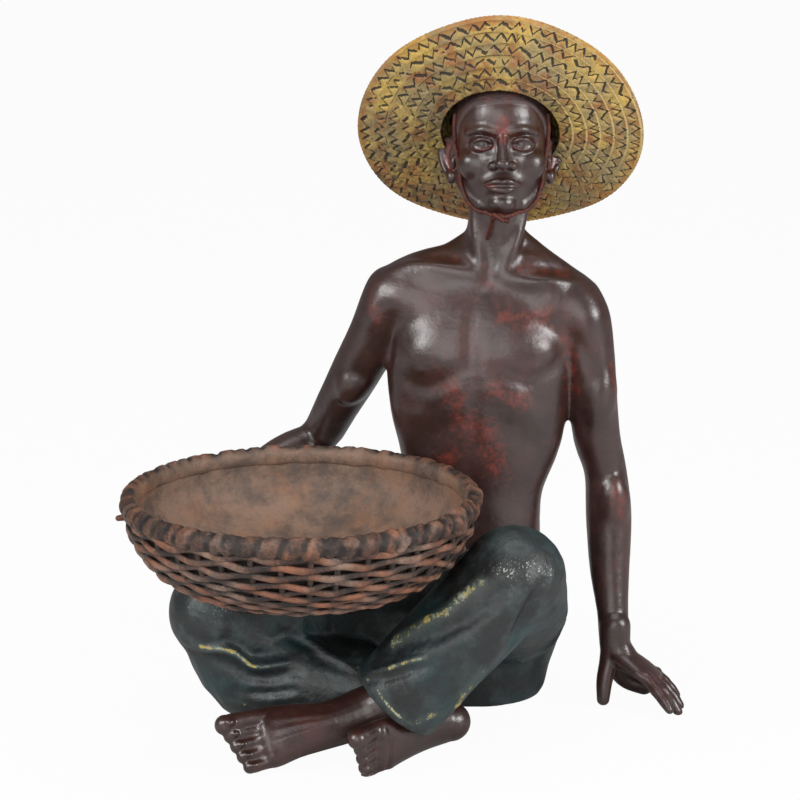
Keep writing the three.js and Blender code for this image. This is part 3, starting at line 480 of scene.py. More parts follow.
def nearness(piece, lines):
    """How near each point is to lines [line, width], in millimetres: 1 on one of them, 0 far from all."""
    points = points_of(piece) / MM
    nearest = np.zeros(len(points))
    for line, width in lines:
        line = smooth_path(line, 4) if len(line) > 2 else np.asarray(line, float)
        far, _ = reach_to(points, line)
        nearest = np.maximum(nearest, np.exp(-((far / width) ** 2)))
    return nearest


def soothe(piece, spots, rounds):
    """Softens the skin near spots [line, width] only, so that joined lumps flow there."""
    points = points_of(piece)
    share = np.clip(1.5 * nearness(piece, spots), 0, 1)[:, None]
    set_points(piece, points * (1 - share) + neighbour_mean(piece, points, rounds) * share)


# %% Turned shells and rings


def turned(line, steps):
    """Turns a closed line of [radius, height], in millimetres, once round by Spin."""
    pick()
    bpy.ops.mesh.primitive_circle_add(vertices=len(line), radius=1)
    piece = bpy.context.object
    set_points(piece, np.array([[r, 0, h] for r, h in line]) * MM)
    bpy.ops.object.mode_set(mode="EDIT")
    bpy.ops.mesh.select_all(action="SELECT")
    bpy.ops.mesh.spin(steps=steps, angle=2 * math.pi, center=(0, 0, 0), axis=(0, 0, 1))
    bpy.ops.mesh.select_all(action="SELECT")
    bpy.ops.mesh.remove_doubles(threshold=1e-6)
    bpy.ops.mesh.delete_loose()
    bpy.ops.mesh.select_all(action="SELECT")
    bpy.ops.mesh.normals_make_consistent(inside=False)
    bpy.ops.object.mode_set(mode="OBJECT")
    return piece


def clay_ring(radius, segments, sides):
    """A ring of clay 2 mm thick, with the bearing, the step outward and the height of its points."""
    pick()
    bpy.ops.mesh.primitive_torus_add(
        major_segments=segments, minor_segments=sides, major_radius=radius * MM, minor_radius=MM,
    )
    piece = bpy.context.object
    x, y, z = (points_of(piece) / MM).T
    return piece, np.arctan2(y, x), np.hypot(x, y) - radius, z


def around(bearing, radius, height):
    """Points at bearings round the upright axis."""
    return np.stack([radius * np.cos(bearing), radius * np.sin(bearing), height], axis=1)


def wear(piece, proud, inner=0.0):
    """Stores where the dry brush catches, and what belongs to the inside of the basket."""
    for name, value in (("proud", proud), ("inner", inner)):
        store(piece, name, np.full(len(piece.data.vertices), value))


print("clay helpers ready")

# %% Cutting


def cut_off(piece, place, way):
    """Cuts a piece flat by a plane and drops what lies on the side that the way points to."""
    pick(piece)
    bpy.ops.object.mode_set(mode="EDIT")
    bpy.ops.mesh.select_all(action="SELECT")
    bpy.ops.mesh.bisect(plane_co=Vector(place) * MM, plane_no=Vector(way), clear_outer=True, use_fill=True)
    bpy.ops.object.mode_set(mode="OBJECT")


def smooth_shade(piece, angle=45):
    pick(piece)
    bpy.ops.object.shade_smooth_by_angle(angle=math.radians(angle))


def seat(piece, name, nodes, material):
    """Names a finished piece, gives it its material, and sets it in the place of its solids."""
    piece.name = name
    piece.data.name = name
    piece.data.materials.clear()
    piece.data.materials.append(material)
    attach(piece, "root")
    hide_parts(*nodes)
    print(name, "faces:", len(piece.data.polygons))


# %% [markdown]
# ## Skin paint
#
# The skin is a dark chocolate paint with a soft gloss. It is rubbed through to red-brown in the
# hollows, round the eyes, at the throat and under the ribs, and in scattered patches. The depth of
# each hollow is stored on the skin, and soft noise breaks its edge, as a rubbed wash is broken.

# %% Skin paint


def skin_finish():
    f = Finish("skin_paint")
    hollow = stored(f, "hollow")
    hair = stored(f, "hair")
    rub = stored(f, "rub")
    grain = clouds(f, 3.5, 4, 0.6, 3.0)
    fine = clouds(f, 1.2, 4, 0.7, 8.0)
    patches = clouds(f, 30, 5, 0.62)
    base = blend(f, patchy(f, 0.35, 0.7, 15, 4, 0.6, 7.0), paint("2c1814"), paint("3c241f"))
    warm = spread(f, patches + 0.5 * (grain - 0.5), 0.48, 0.72)
    colour = blend(f, warm * 0.5, base, paint("4e2119"))
    worn = spread(f, hollow + 0.6 * (grain - 0.5) + 0.9 * (patches - 0.5), 0.2, 0.75)
    colour = blend(f, worn * 0.5, colour, paint("5c281d"))
    rubbed = spread(f, 0.85 * rub + 1.7 * (grain - 0.5) + 0.9 * (fine - 0.5), 0.4, 1.25)
    colour = blend(f, rubbed * 0.75, colour, paint("74291c"))
    specks = spread(f, 0.25 * rub + fine + 0.4 * (grain - 0.5), 0.84, 1.0)
    colour = blend(f, specks * 0.4, colour, paint("91482f"))
    flecks = spread(f, clouds(f, 9, 5, 0.7, 4.0) + 0.5 * (fine - 0.5), 0.62, 0.8)
    colour = blend(f, flecks * 0.45, colour, paint("6f2f20"))
    colour = blend(
        f, hair * 0.75, colour, blend(f, spread(f, fine, 0.4, 0.65), paint("1c1210"), paint("5a261c"))
    )
    rough = 0.27 + 0.14 * grain + 0.1 * worn + 0.3 * hair
    height = clouds(f, 8, 4, 0.5, 1.0) + 0.12 * fine + hair * fine * 1.5
    return coat(f, colour, rough, height, 0.4, shine=0.9)


SKIN = skin_finish()
print("skin paint ready")

# %% [markdown]
# ## Body
#
# The torso is slim, with flat chest plates, clear collarbones and a long neck. Torso and arms are
# worked as one skin first, so that the shoulders flow, and are then parted at the shoulder joints,
# where the castings are keyed together.

# %% Body masses
LEFT_WRIST = np.array([60, -10, 28.0])
RIGHT_WRIST = np.array([-118.0, -10.1, 86.0])
RIGHT_FINGERTIPS = np.array([-133.0, -50.5, 83.0])
NECK_ROOT = np.array([6, 8, 184.0])
NECK_TOP = np.array([10, 6, 226.0])
WAIST_CUT = 64.15
ARMPIT = 146.0


def neck_masses():
    at = lambda t: NECK_ROOT + (NECK_TOP - NECK_ROOT) * t
    neck = limb([(at(0), 17, 14), (at(0.3), 12.8, 12.4), (at(0.6), 11.7, 12), (at(1), 11.4, 12.5)], sides=24)
    cords = [
        roll([(-1, 4.6, 220), (-0.4, 0.4, 206), (1, -2.6, 196), (3.4, -4.8, 187)], [2.8, 2.8, 2.6, 2.2]),
        roll([(20.4, 4, 220), (17.8, 0.2, 206), (14.2, -3, 196), (9.3, -5, 187)], [3, 3, 3, 2.4]),
    ]
    slopes = [
        limb([((-1.5, 9, 199), 5, 5), ((-11, 9.5, 190.5), 7, 7), ((-28, 9, 181), 9, 8.6)], side=(0, 1, 0)),
        limb([((17.5, 8, 200), 5, 5), ((27, 7, 190), 7.2, 6.6), ((41, 4, 178.5), 9, 8.4)], side=(0, 1, 0)),
    ]
    return [neck, *cords, *slopes]


def torso_masses():
    column = limb(
        [
            ((-1, 1, 58), 29.5, 20), ((-1, 1, 64), 29.5, 20), ((-1, 1, 80), 29, 19),
            ((-0.5, 1, 96), 30, 18.6), ((1.5, 1.5, 116), 35.6, 20.2), ((1.5, 2, 134), 38.5, 21.5),
            ((2, 3, 152), 40, 21.5), ((3, 5, 168), 37, 18.5), ((5, 7, 180), 26, 14), ((6, 8, 187), 15, 10),
        ],
        sides=32, round_ends=(False, True),
    )
    yoke = limb(
        [
            ((-36, 8, 175), 12, 12), ((-24, 8, 182), 12, 13), ((-8, 7.5, 184), 14, 14), ((6, 8, 184), 15, 14),
            ((23, 6, 183), 13.5, 14), ((36, 4, 174), 11.5, 13), ((43, 3, 168), 11.5, 12),
        ],
        side=(0, 0, 1),
    )
    upper_chest = [
        ball((-24, 3, 173), (18, 11.5, 13), (0, 14, 0)),
        ball((30, 1.5, 171.5), (16, 11.5, 13), (0, -18, 0)),
        ball((3, 2, 174), (20, 12.5, 12)),
    ]
    blades = [
        ball((-17, 14.5, 154), (15, 10, 20), (0, -8, 12)),
        ball((22, 13.5, 152), (15, 10, 20), (0, 8, -12)),
    ]
    return [column, yoke, *upper_chest, *blades]


def arm_masses():
    left = limb(
        [
            ((42, 3.5, 173), 12.2, 12.4), ((44.8, 3, 165), 12.8, 13.2), ((47.6, 2.4, 152), 11.4, 12.4),
            ((49.8, 3, 132), 10.6, 11), ((52, 5, 114), 10.2, 10.4), ((56, 7, 99), 9.2, 9.4),
            ((57.6, 5, 80), 10, 9.8), ((58, 0, 58), 8.8, 8.4), ((59.2, -6, 40), 6.9, 6.3),
            (LEFT_WRIST, 6.9, 6.2),
            (LEFT_WRIST + [0.4, -0.6, -5], 6.6, 6),
        ],
    )
    toward = RIGHT_WRIST - np.array([-68, 31, 107])
    right = limb(
        [
            ((-36, 8.5, 177), 11.2, 12.2), ((-38.5, 9, 170), 11.4, 12.6), ((-43, 11, 157), 11.4, 12),
            ((-51, 17, 140), 10.8, 11.2), ((-59, 23, 124), 9.6, 9.8), ((-68, 31, 107), 8.8, 9),
            (np.array([-68, 34, 107]) + 0.3 * toward, 9.4, 9.2),
            (np.array([-68, 31, 107]) + 0.75 * toward, 7.2, 7),
            (RIGHT_WRIST, 6.6, 6),
        ],
        side=(1, 0, 0.3),
    )
    muscles = [
        ball((51.3, -0.4, 134), (8.8, 9.6, 19), (4, 2, 0)),
        ball((50.5, 7.2, 138), (8.8, 7.8, 19), (4, 2, 0)),
        ball((59, 2, 84), (8, 8.4, 16), (10, 0, 0)),
        ball((56, 13.5, 100), (4.8, 4.2, 5.4)),
        ball((-49, 13.6, 142), (9.2, 9, 17), (-18, 28, 0)),
        ball((-65.5, 36, 105), (5, 4.8, 5.6)),
        ball((46, 0.6, 165), (11, 11.8, 14.5)),
        ball((-40, 7, 168), (10.4, 11.6, 13.5)),
    ]
    webs = [
        limb([((40.4, 9.5, 162), 4, 6), ((39.8, 8.5, 127), 3.2, 5)]),
        limb([((-37, 14, 162), 3.5, 5), ((-37.6, 15, 146), 3.5, 4.5)]),
    ]
    return [left, right, *muscles, *webs]


print("body masses defined")

# %% [markdown]
# ## Hands
#
# A hand is made in its own frame: the wrist at the origin, the fingers along +X, the back of the
# hand at +Z. The left one stands on the table with straight fingers, its thumb straight down under
# the wrist. The right one lies behind the basket, and only a part of it shows.

# %% Hands


def frame_at(origin, along, top, mirrored=False):
    """A matrix that carries a frame in millimetres to a place, along its length and with its top up."""
    x = unit(np.asarray(along, float))
    z = unit(np.asarray(top, float) - np.dot(top, x) * x)
    y = np.cross(z, x) * (-1 if mirrored else 1)
    matrix = np.eye(4)
    matrix[:3, :3] = np.stack([x, y, z], axis=1)
    matrix[:3, 3] = origin
    return matrix


def through(matrix, point):
    return (matrix @ np.array([*point, 1.0]))[:3]


def moved(stations, matrix):
    return [(through(matrix, centre), wide, deep) for centre, wide, deep in stations]


PALM = 22
FINGERS = [(0.36, 17, 2.8), (0.12, 19.5, 2.9), (-0.12, 18, 2.8), (-0.36, 14, 2.5)]


def hand_masses(matrix, curl, flex, spread_out, thumb):
    side = matrix[:3, 1]
    back = matrix[:3, 2]
    palm = limb(
        moved([
            ((-0.5, 0, 0.2), 5.4, 4.4), ((4, 0.3, 0), 7.6, 5), ((15.4, 0, 0), 10.7, 4.2),
            ((22, 0, -0.3), 10, 3.2)
], matrix),
        side, round_ends=(True, True),
    )
    lumps = [palm]
    for across, length, radius in FINGERS:
        root = np.array([PALM - 2, across * 21, 0])
        swing = math.radians(across * spread_out * 4)

        def bone(share, bend):
            bend = math.radians(bend)
            way = [math.cos(bend) * math.cos(swing), math.sin(swing), -math.sin(bend)]
            return np.array(way) * length * share

        knuckle = root + bone(0.42, curl)
        joint = knuckle + bone(0.33, curl + flex)
        tip = joint + bone(0.25, curl + 2 * flex)
        stations = [
            (root, radius * 1.08, radius * 1.1), (root + bone(0.2, curl), radius * 0.98, radius),
            (knuckle, radius * 1.04, radius * 1.04),
            (knuckle + bone(0.17, curl + flex), radius * 0.94, radius * 0.92),
            (joint, radius * 0.95, radius * 0.93), (tip, radius * 0.8, radius * 0.7),
        ]
        lumps.append(limb(moved(stations, matrix), side, sides=12, steps=2))
        lumps.append(ball(through(matrix, root + np.array([0.5, 0, 0.7])), (2.6, 2.5, 2.1)))
    sizes = [(4.9, 4.6), (4.3, 4), (3.7, 3.4), (2.9, 2.5)]
    lumps.append(limb([(p, w, d) for p, (w, d) in zip(thumb, sizes)], back, sides=14, steps=3))
    return lumps


LEFT_HAND = frame_at(LEFT_WRIST + [-1.2, 1, -4.4], (0.8, -0.33, -0.46), (0.4, 0, 0.9), mirrored=True)
LEFT_THUMB = [
    LEFT_WRIST + step for step in ([-1.4, -1, -3], [-2.6, -2.6, -9], [-4.4, -5, -16.5], [-5, -7.2, -24.4])
]
heel_of_hand = limb(
    [
        (LEFT_WRIST + [0, 5, -6], 6, 6), (LEFT_WRIST + [5, 9, -19], 5.6, 5),
        (LEFT_WRIST + [14, 8, -23.6], 4.4, 4)
    ],
    side=(0, 1, 0),
)
back_of_wrist = limb(
    [
        (LEFT_WRIST + [0, 0, 7], 6.2, 6.8), (LEFT_WRIST + [0.6, -0.2, -2], 6.6, 6.6),
        (through(LEFT_HAND, (8, 0, 0.3)), 7.4, 5.2)
    ],
    side=(0, 1, 0),
)
BASKET = np.array([-72, -68, 73.0])
BASE_R, RIM_R, DEPTH, WALL, FLOOR_T, ROPE_R = 38.0, 70.5, 34.0, 3.6, 4.0, 4.5
RIGHT_HAND = frame_at(RIGHT_WRIST, RIGHT_FINGERTIPS - RIGHT_WRIST, RIGHT_WRIST - BASKET - [0, 0, DEPTH])
RIGHT_THUMB = [
    through(RIGHT_HAND, p) for p in ((3, 4.5, -0.6), (9, 8, 0), (14, 11.5, 0.8), (19.4, 14.5, 1.5))
]


def wall_at(share):
    """The radius and the height of the basket's outer wall, from its base at 0 to its rim at 1."""
    turn = share * math.pi / 2
    return BASE_R + (RIM_R - BASE_R) * math.sin(turn) ** 0.9, DEPTH * (1 - math.cos(turn)) ** 0.85


def clear_of_basket(piece, air):
    """Presses the skin that would be inside the basket out onto its wall, with some air between."""
    points = points_of(piece) / MM
    place = points - BASKET
    radial = np.hypot(place[:, 0], place[:, 1])
    shares = np.linspace(0, 1, 60)
    wall = np.interp(place[:, 2], [wall_at(s)[1] for s in shares], [wall_at(s)[0] for s in shares])
    near_rope = ROPE_R**2 - np.clip(DEPTH - place[:, 2], -ROPE_R, ROPE_R) ** 2
    wall = np.maximum(wall, RIM_R - WALL / 2 + np.sqrt(near_rope)) + air
    inside = (place[:, 2] > -3) & (place[:, 2] < DEPTH + ROPE_R) & (radial < wall) & (points[:, 0] < -90)
    points[inside, :2] = BASKET[:2] + place[inside, :2] / radial[inside, None] * wall[inside, None]
    set_points(piece, points * MM)
    print("pressed out of the basket:", int(inside.sum()), "points")


print("hands placed")

# %% Body skin
FINE = 0.57

masses = knead("masses", [*torso_masses(), *neck_masses(), *arm_masses(), heel_of_hand], 1.0, 16)
UPPER_CHEST = [(-40, -4, 170), (-24, -9, 170), (-8, -12, 172), (10, -12, 172), (28, -11, 169), (46, -8, 166)]
BACK_OF_ARMPIT = [(40, 15, 158), (40, 14, 142), (40, 13, 126)]
soothe(masses, [(UPPER_CHEST, 15), (BACK_OF_ARMPIT, 8)], 70)
neck_piece = duplicate(masses, "neck_piece")
cut_off(neck_piece, (0, 0, 182), (0, 0, -1))
hands = [*hand_masses(LEFT_HAND, 12, 5, 9, LEFT_THUMB), *hand_masses(RIGHT_HAND, 8, 9, 3, RIGHT_THUMB)]
body = knead("body", [masses, back_of_wrist, *hands], FINE, 5)
soothe(body, [([LEFT_WRIST + [0, 0, -3]], 9)], 24)

# %% Chest, collarbones, belly and back
dab(
    body,
    [
        ((-19, -15, 157), 1.7, 12), ((21, -15, 158), 1.7, 11.5), ((30, -12, 156), 1.2, 7),
        ((-27, -12, 153), 0.6, 7), ((-38, 0, 178), 0.9, 8), ((46, -6, 172), 0.9, 8), ((16, -17, 92), -0.8, 8),
    ],
)
NECK_STROKES = [
    ([(-36, 3, 186), (-26, 0.4, 190.6), (-14, -3.4, 190.4), (-4, -5.2, 188), (1.4, -5.8, 185.2)], 1.2, 3.0),
    ([
        (10.6, -6, 185.8), (16, -6.7, 185.2), (21.4, -7.4, 184.7), (33, -5.3, 184.5), (43, -1.6, 183.5)
    ], 1.2, 3.0),
    ([(-28, 5, 195), (-21.5, 2.2, 194.6), (-13.2, -0.4, 195), (-6, -3.6, 193)], -2.0, 4.2),
    ([(17, -5, 190.6), (26.5, -4.5, 190), (35, -1.2, 188.8), (41, 1, 187.4)], -1.9, 4.0),
    ([(5.5, -4.6, 205), (5.1, -4.7, 195.2), (5.4, -5.4, 187)], -1.1, 3.4),
]
press(body, NECK_STROKES)
press(
    body,
    [
        ([
            (4.3, -6.2, 183), (-0.3, -11, 175.6), (-2.6, -15.5, 168), (-2.4, -19.5, 156), (-1.5, -20, 146)
        ], -1.2, 4.0),
        ([
            (-35, -8, 151), (-32, -10, 145.4), (-29, -13, 142), (-23, -17, 141), (-14, -20, 143.6),
            (-7, -20, 149)
        ], -1.2, 4.2),
        ([(-36, -4, 138), (-28, -12, 133), (-18, -17, 133.5), (-9, -19, 137)], -0.4, 4.0),
        ([
            (9, -20, 149), (15, -20, 146.4), (22, -18.5, 144), (29, -16.4, 146), (34, -12, 149.4),
            (38, -8, 155)
        ], -1.3, 4.0),
        ([
            (-1.2, -19, 141), (-0.3, -18.5, 133), (-1.0, -18.7, 121), (-2.6, -17.6, 108), (-2, -18, 90)
        ], -0.8, 4.2),
        ([(-13, -18.5, 141), (-18.6, -17, 136), (-24, -14, 129), (-28, -10, 121)], 0.7, 4.6),
        ([(7, -19, 141), (14, -18.5, 137.5), (22.4, -15.8, 130), (29, -12, 121)], 0.7, 4.6),
        ([(-8, -19, 128), (-17, -16, 122), (-26, -11, 112)], -0.7, 5.0),
        ([(8, -19, 128), (17, -16, 121), (26, -10, 112)], -0.7, 5.0),
        ([(40.6, -6, 160), (40.4, -4, 148), (40.2, -2, 134)], -1.4, 3.0),
        ([(-35, -3, 168), (-36.5, -2, 156), (-37, -2, 146)], -1.6, 3.4),
        ([(42, -9, 161), (47, -9.4, 152), (51, -8, 144)], -0.8, 3.4),
        ([
            (5, 21, 186), (3, 24, 165), (2, 24, 150), (1.5, 22.5, 130), (1, 21, 112), (0, 19.5, 92),
            (-1, 20, 76)
        ], -2.0, 5.0),
        ([(-7, 22, 160), (-9, 23, 145), (-14, 21, 132), (-25, 17, 130)], -1.0, 5.0),
        ([(12, 22, 160), (13, 23, 144), (18, 20, 130), (29, 15, 128)], -1.0, 5.0),
        ([(62.5, -14, 34), (65, -15, 26)], 0.5, 2.0),
        ([(66, -14, 20), (75, -17, 15)], -0.4, 1.2),
        ([(68, -8, 21.5), (77, -11, 16)], -0.4, 1.2),
    ],
)
dab(body, [((-24.5, -17, 147.6), 0.7, 2.2), ((25.5, -17.5, 149.4), 1.1, 2.4), ((-1.8, -19, 83), -1.5, 1.8)])
soothe(body, [([(-8, -3, 191), (6, -7, 189), (20, -4, 191)], 8)], 24)
clear_of_basket(body, 0.5)
apply_modifier(body, "SMOOTH", factor=0.5, iterations=3)

# %% [markdown]
# The skin is parted with closed cutters, one for each arm: the cut leans with the shoulder joint
# above the armpit and stands upright below it.

# %% Part the body at its joints
NECK_JOINT = NECK_ROOT + 0.4 * (NECK_TOP - NECK_ROOT)
NECK_AXIS = unit(NECK_TOP - NECK_ROOT)
FAR = 400.0


def left_plane(y, z):
    return 38.5 - 0.12 * (z - 167) if z >= ARMPIT else 40.4


def right_plane(y, z):
    return -34.5 + 0.08 * (y - 8) + 0.14 * (z - 173) if z >= ARMPIT else -37.8


def arm_cutter(plane, outside):
    """A closed block that holds all that lies beyond an arm's cut, above and below the armpit."""
    blocks = []
    for low, high in ((-50, ARMPIT - 1e-6), (ARMPIT, 300)):
        corners = lambda y: [
            (plane(y, low), y, low), (plane(y, high), y, high), (outside, y, high), (outside, y, low)
        ]
        blocks.append(loft("cutter", [np.array(corners(y), float) for y in (-150, 150)]))
    cut_with(blocks[0], blocks[1], "UNION")
    bpy.data.objects.remove(blocks[1])
    return blocks[0]


def cut_with(piece, cutter, operation):
    apply_modifier(piece, "BOOLEAN", object=cutter, operation=operation, solver="EXACT")


cut_off(body, (0, 0, 0.3), (0, 0, -1))
cut_off(body, NECK_JOINT, NECK_AXIS)
left_arm = duplicate(body, "left_arm_skin")
right_arm = duplicate(body, "right_arm_skin")
torso = body
for arm, plane, outside in ((left_arm, left_plane, FAR), (right_arm, right_plane, -FAR)):
    cutter = arm_cutter(plane, outside)
    cut_with(arm, cutter, "INTERSECT")
    cut_with(torso, cutter, "DIFFERENCE")
    bpy.data.objects.remove(cutter)
cut_off(torso, (0, 0, WAIST_CUT), (0, 0, -1))

SKIN_RUBS = [
    ([(7, -20, 141), (14, -19, 137), (20, -17, 135.6)], 6), ([(-10, -19, 142), (-8, -19, 134)], 6),
    ([(27, -14, 116), (31, -10, 115.8)], 1.6), ([(10, -19, 102), (14, -18, 100)], 4.5),
    ([(-20, -15, 104), (-10, -17, 112)], 6),
    ([(20, -7, 190), (30, -5, 190), (38, -1, 188)], 5), ([(-24, 2, 195), (-10, -2, 195)], 4),
    ([(4, -7, 190), (5, -8, 182)], 4),
    ([(38, -9, 160), (40, -8, 150), (40, -6, 136)], 4.4), ([(12, -16, 172), (30, -13, 170)], 8),
    ([(-46, -3, 178), (-42, -5, 168)], 5),
    ([(62, -6, 84), (61, -7, 96)], 5), ([(57, -6, 148), (60, -4, 130)], 4),
    ([(70, -14, 20), (76, -17, 14)], 4),
    ([(-6, -18, 128), (4, -18, 122), (8, -18, 108)], 9),
]
for piece, name in ((torso, "torso"), (left_arm, "left_arm"), (right_arm, "right_arm")):
    smooth_shade(piece)
    store_hollows(piece)
    store(piece, "rub", nearness(piece, SKIN_RUBS))
    seat(piece, name + "_casting", [name], SKIN)

# %% [markdown]
# ## Head
#
# The head is tipped back a little. Its face is a plain, calm one on the usual proportions: the eyes
# half way down the head, the nose half way from the eyes to the chin and the mouth a third of the
# way below the nose. Skull and neck are kneaded first, and the nose, the lids, the lips and the ears
# are laid on as small rolls after that, because the softening would melt them.

# %% Head masses
HEAD_TILT = 8
level_part = math.cos(math.radians(HEAD_TILT))
tilted_part = math.sin(math.radians(HEAD_TILT))
HEAD_MATRIX = np.array(
    [
        [1, 0, 0, 10],
        [0, level_part, tilted_part, 3.5],
        [0, -tilted_part, level_part, 241],
        [0, 0, 0, 1],
    ]
)


def on_head(x, y, z):
    return through(HEAD_MATRIX, (x, y, z))


def head_line(points, side=1):
    """Points of a line on the head, with side -1 for the other half of the face."""
    return [on_head(side * x, y, z) for x, y, z in points]


def head_roll(points, radius, sides=12, steps=3):
    return roll(head_line(points), radius, steps, sides)


def head_ball(centre, radii, turn=(0, 0, 0)):
    return ball(on_head(*centre), radii, (turn[0] - HEAD_TILT, turn[1], turn[2]))


skull = limb(
    moved(
        [
            ((0, -12.5, -27.2), 6.5, 4.5), ((0, -10.5, -23), 11.5, 9.5), ((0, -6.5, -16), 15.6, 14),
            ((0, -3, -8), 18, 17.5), ((0, 0, 0), 19.3, 20), ((0, 1.5, 9), 20, 22.4), ((0, 2.5, 17), 18.6, 21),
            ((0, 3, 23), 14.5, 16), ((0, 3.5, 26.5), 8.5, 9),
        ],
        HEAD_MATRIX,
    ),
    sides=32,
)
forms = [
    *both_sides(lambda s: head_ball((s * 10.2, -10.4, -8), (8.2, 6.6, 8))),
    *both_sides(
        lambda s: head_roll([(s * 2.5, -18.6, 4.6), (s * 8, -18, 5.6), (s * 14, -13.8, 4.4)], [2, 2.3, 1.8])
    ),
    head_ball((0, -15.5, -24.2), (6, 5.2, 4.2)),
    *both_sides(
        lambda s: head_roll([(s * 16.6, -1, -13), (s * 14, -7, -20), (s * 8, -12.6, -25)], [3.2, 3.2, 3])
    ),
    head_ball((0, -13.6, -16.5), (9.5, 7.2, 7)),
]
skull_skin = knead("skull", [skull, *forms, neck_piece], 0.8, 12)
press(skull_skin, NECK_STROKES)

# %% Features
press(
    skull_skin,
    [(head_line([(3.6, -20, -0.4), (8.4, -19, 0), (13.4, -15, 0.2)], s), -2.5, 3.6) for s in (1, -1)],
)
nose = [
    head_roll([(0, -18.2, 3.6), (0, -20.2, -2), (0, -22.6, -7)], [1.9, 2.3, 2.8]),
    head_ball((0, -23.4, -8), (3.3, 3, 2.7)),
    *both_sides(lambda s: head_ball((s * 3.8, -21.2, -8.9), (2.5, 3, 2.2))),
    head_ball((0, -21.6, -10), (1.2, 2.4, 1)),
]
eyes = both_sides(lambda s: head_ball((s * 8.4, -13.4, 0), (5.1, 5, 4.7)))
lids = []
for s in (1, -1):
    upper = [
        (3.9, -17.2, -0.4), (5.6, -18.5, 1.5), (8.4, -18.9, 2.2), (11.2, -17.6, 1.3), (13.2, -15.2, -0.3)
    ]
    lower = [
        (3.9, -17.2, -0.5), (6, -18.2, -1.9), (8.6, -18.4, -2.3), (11.2, -17.1, -1.7), (13.1, -15.2, -0.4)
    ]
    lids.append(head_roll([(s * x, y, z) for x, y, z in upper], [0.5, 0.8, 0.9, 0.8, 0.5], 10))
    lids.append(head_roll([(s * x, y, z) for x, y, z in lower], [0.4, 0.6, 0.7, 0.6, 0.4], 10))
lips = [
    head_roll(
        [
            (-7.4, -18.6, -16.6), (-4, -20.8, -15.7), (-1.5, -21.6, -15.2), (0, -21.4, -15.6),
            (1.5, -21.6, -15.2), (4, -20.8, -15.7), (7.4, -18.6, -16.6),
        ],
        [0.6, 1.3, 1.5, 1.4, 1.5, 1.3, 0.6],
    ),
    head_roll(
        [
            (-6.4, -18.9, -17.2), (-3, -20.8, -18.3), (0, -21.2, -18.6), (3, -20.8, -18.3),
            (6.4, -18.9, -17.2),
        ],
        [0.6, 1.7, 1.9, 1.7, 0.6],
    ),
]
ears = []
for s in (1, -1):
    helix = [
        (18.8, -1.4, -2), (20.4, 0.4, 0.8), (22.4, 3, 1.8), (24, 5.4, 0), (24.6, 6.2, -4.4),
        (23.4, 5, -9.6), (21, 2.4, -14)
    ]
    ears.append(head_roll([(s * x, y, z) for x, y, z in helix], [1.1, 1.5, 1.7, 1.8, 1.8, 1.7, 1.7], 10))
    ears.append(head_ball((s * 20.6, 3.2, -6), (2, 5, 7.2), (0, 0, -s * 34)))
    ears.append(head_ball((s * 20.6, 1.4, -14), (2.2, 2.7, 3.2)))
    ears.append(
        head_roll(
            [(s * 18.9, -1.6, -5.4), (s * 19.9, -1.6, -7.4), (s * 19.6, -0.8, -10)], [0.9, 1.3, 0.9], 10
        )
    )
irises = both_sides(lambda s: head_ball((s * 8.2, -18.1, 0), (1.9, 0.7, 1.9)))
HEAD_GRAIN = 0.42
head = knead("head", [skull_skin, *nose, *eyes, *irises, *lids, *lips, *ears], HEAD_GRAIN, 3)
strokes = [
    (
        head_line([(-7, -19.4, -17), (-3, -22, -17), (0, -22.4, -17.2), (3, -22, -17), (7, -19.4, -17)]),
        -0.55, 0.8
    ),
    (head_line([(0, -21.2, -12), (0, -22, -14)]), -0.5, 0.9),
]
for s in (1, -1):
    strokes += [
        (head_line([(3.6, -17.6, 2.4), (8.4, -19.6, 4), (13.4, -15.6, 2)], s), -0.6, 0.9),
        (head_line([(4.6, -18.2, -3.2), (8.6, -18.4, -4.2), (12, -16.4, -3.2)], s), -0.4, 1.2),
        (head_line([(1.6, -24.4, -10.6), (3.4, -22.6, -11)], s), -1.0, 0.9),
        (head_line([(5.9, -19.6, -6.6), (6.6, -19.2, -9.4), (6.2, -18.8, -11)], s), -0.6, 1.1),
        (head_line([(20.8, 0.8, -2), (22.2, 2.8, -5), (21.2, 2, -9.6)], s), -1.3, 1.5),
    ]
press(head, strokes)
cut_off(head, NECK_JOINT, -NECK_AXIS)

# %% Cropped hair


def hairline(depth):
    """How high the hair starts in the head's frame, from the forehead over the temple to the nape."""
    return np.interp(depth, [-22, -15, -9, -4, 2, 12], [18, 16, 8, -3, -6, -16])


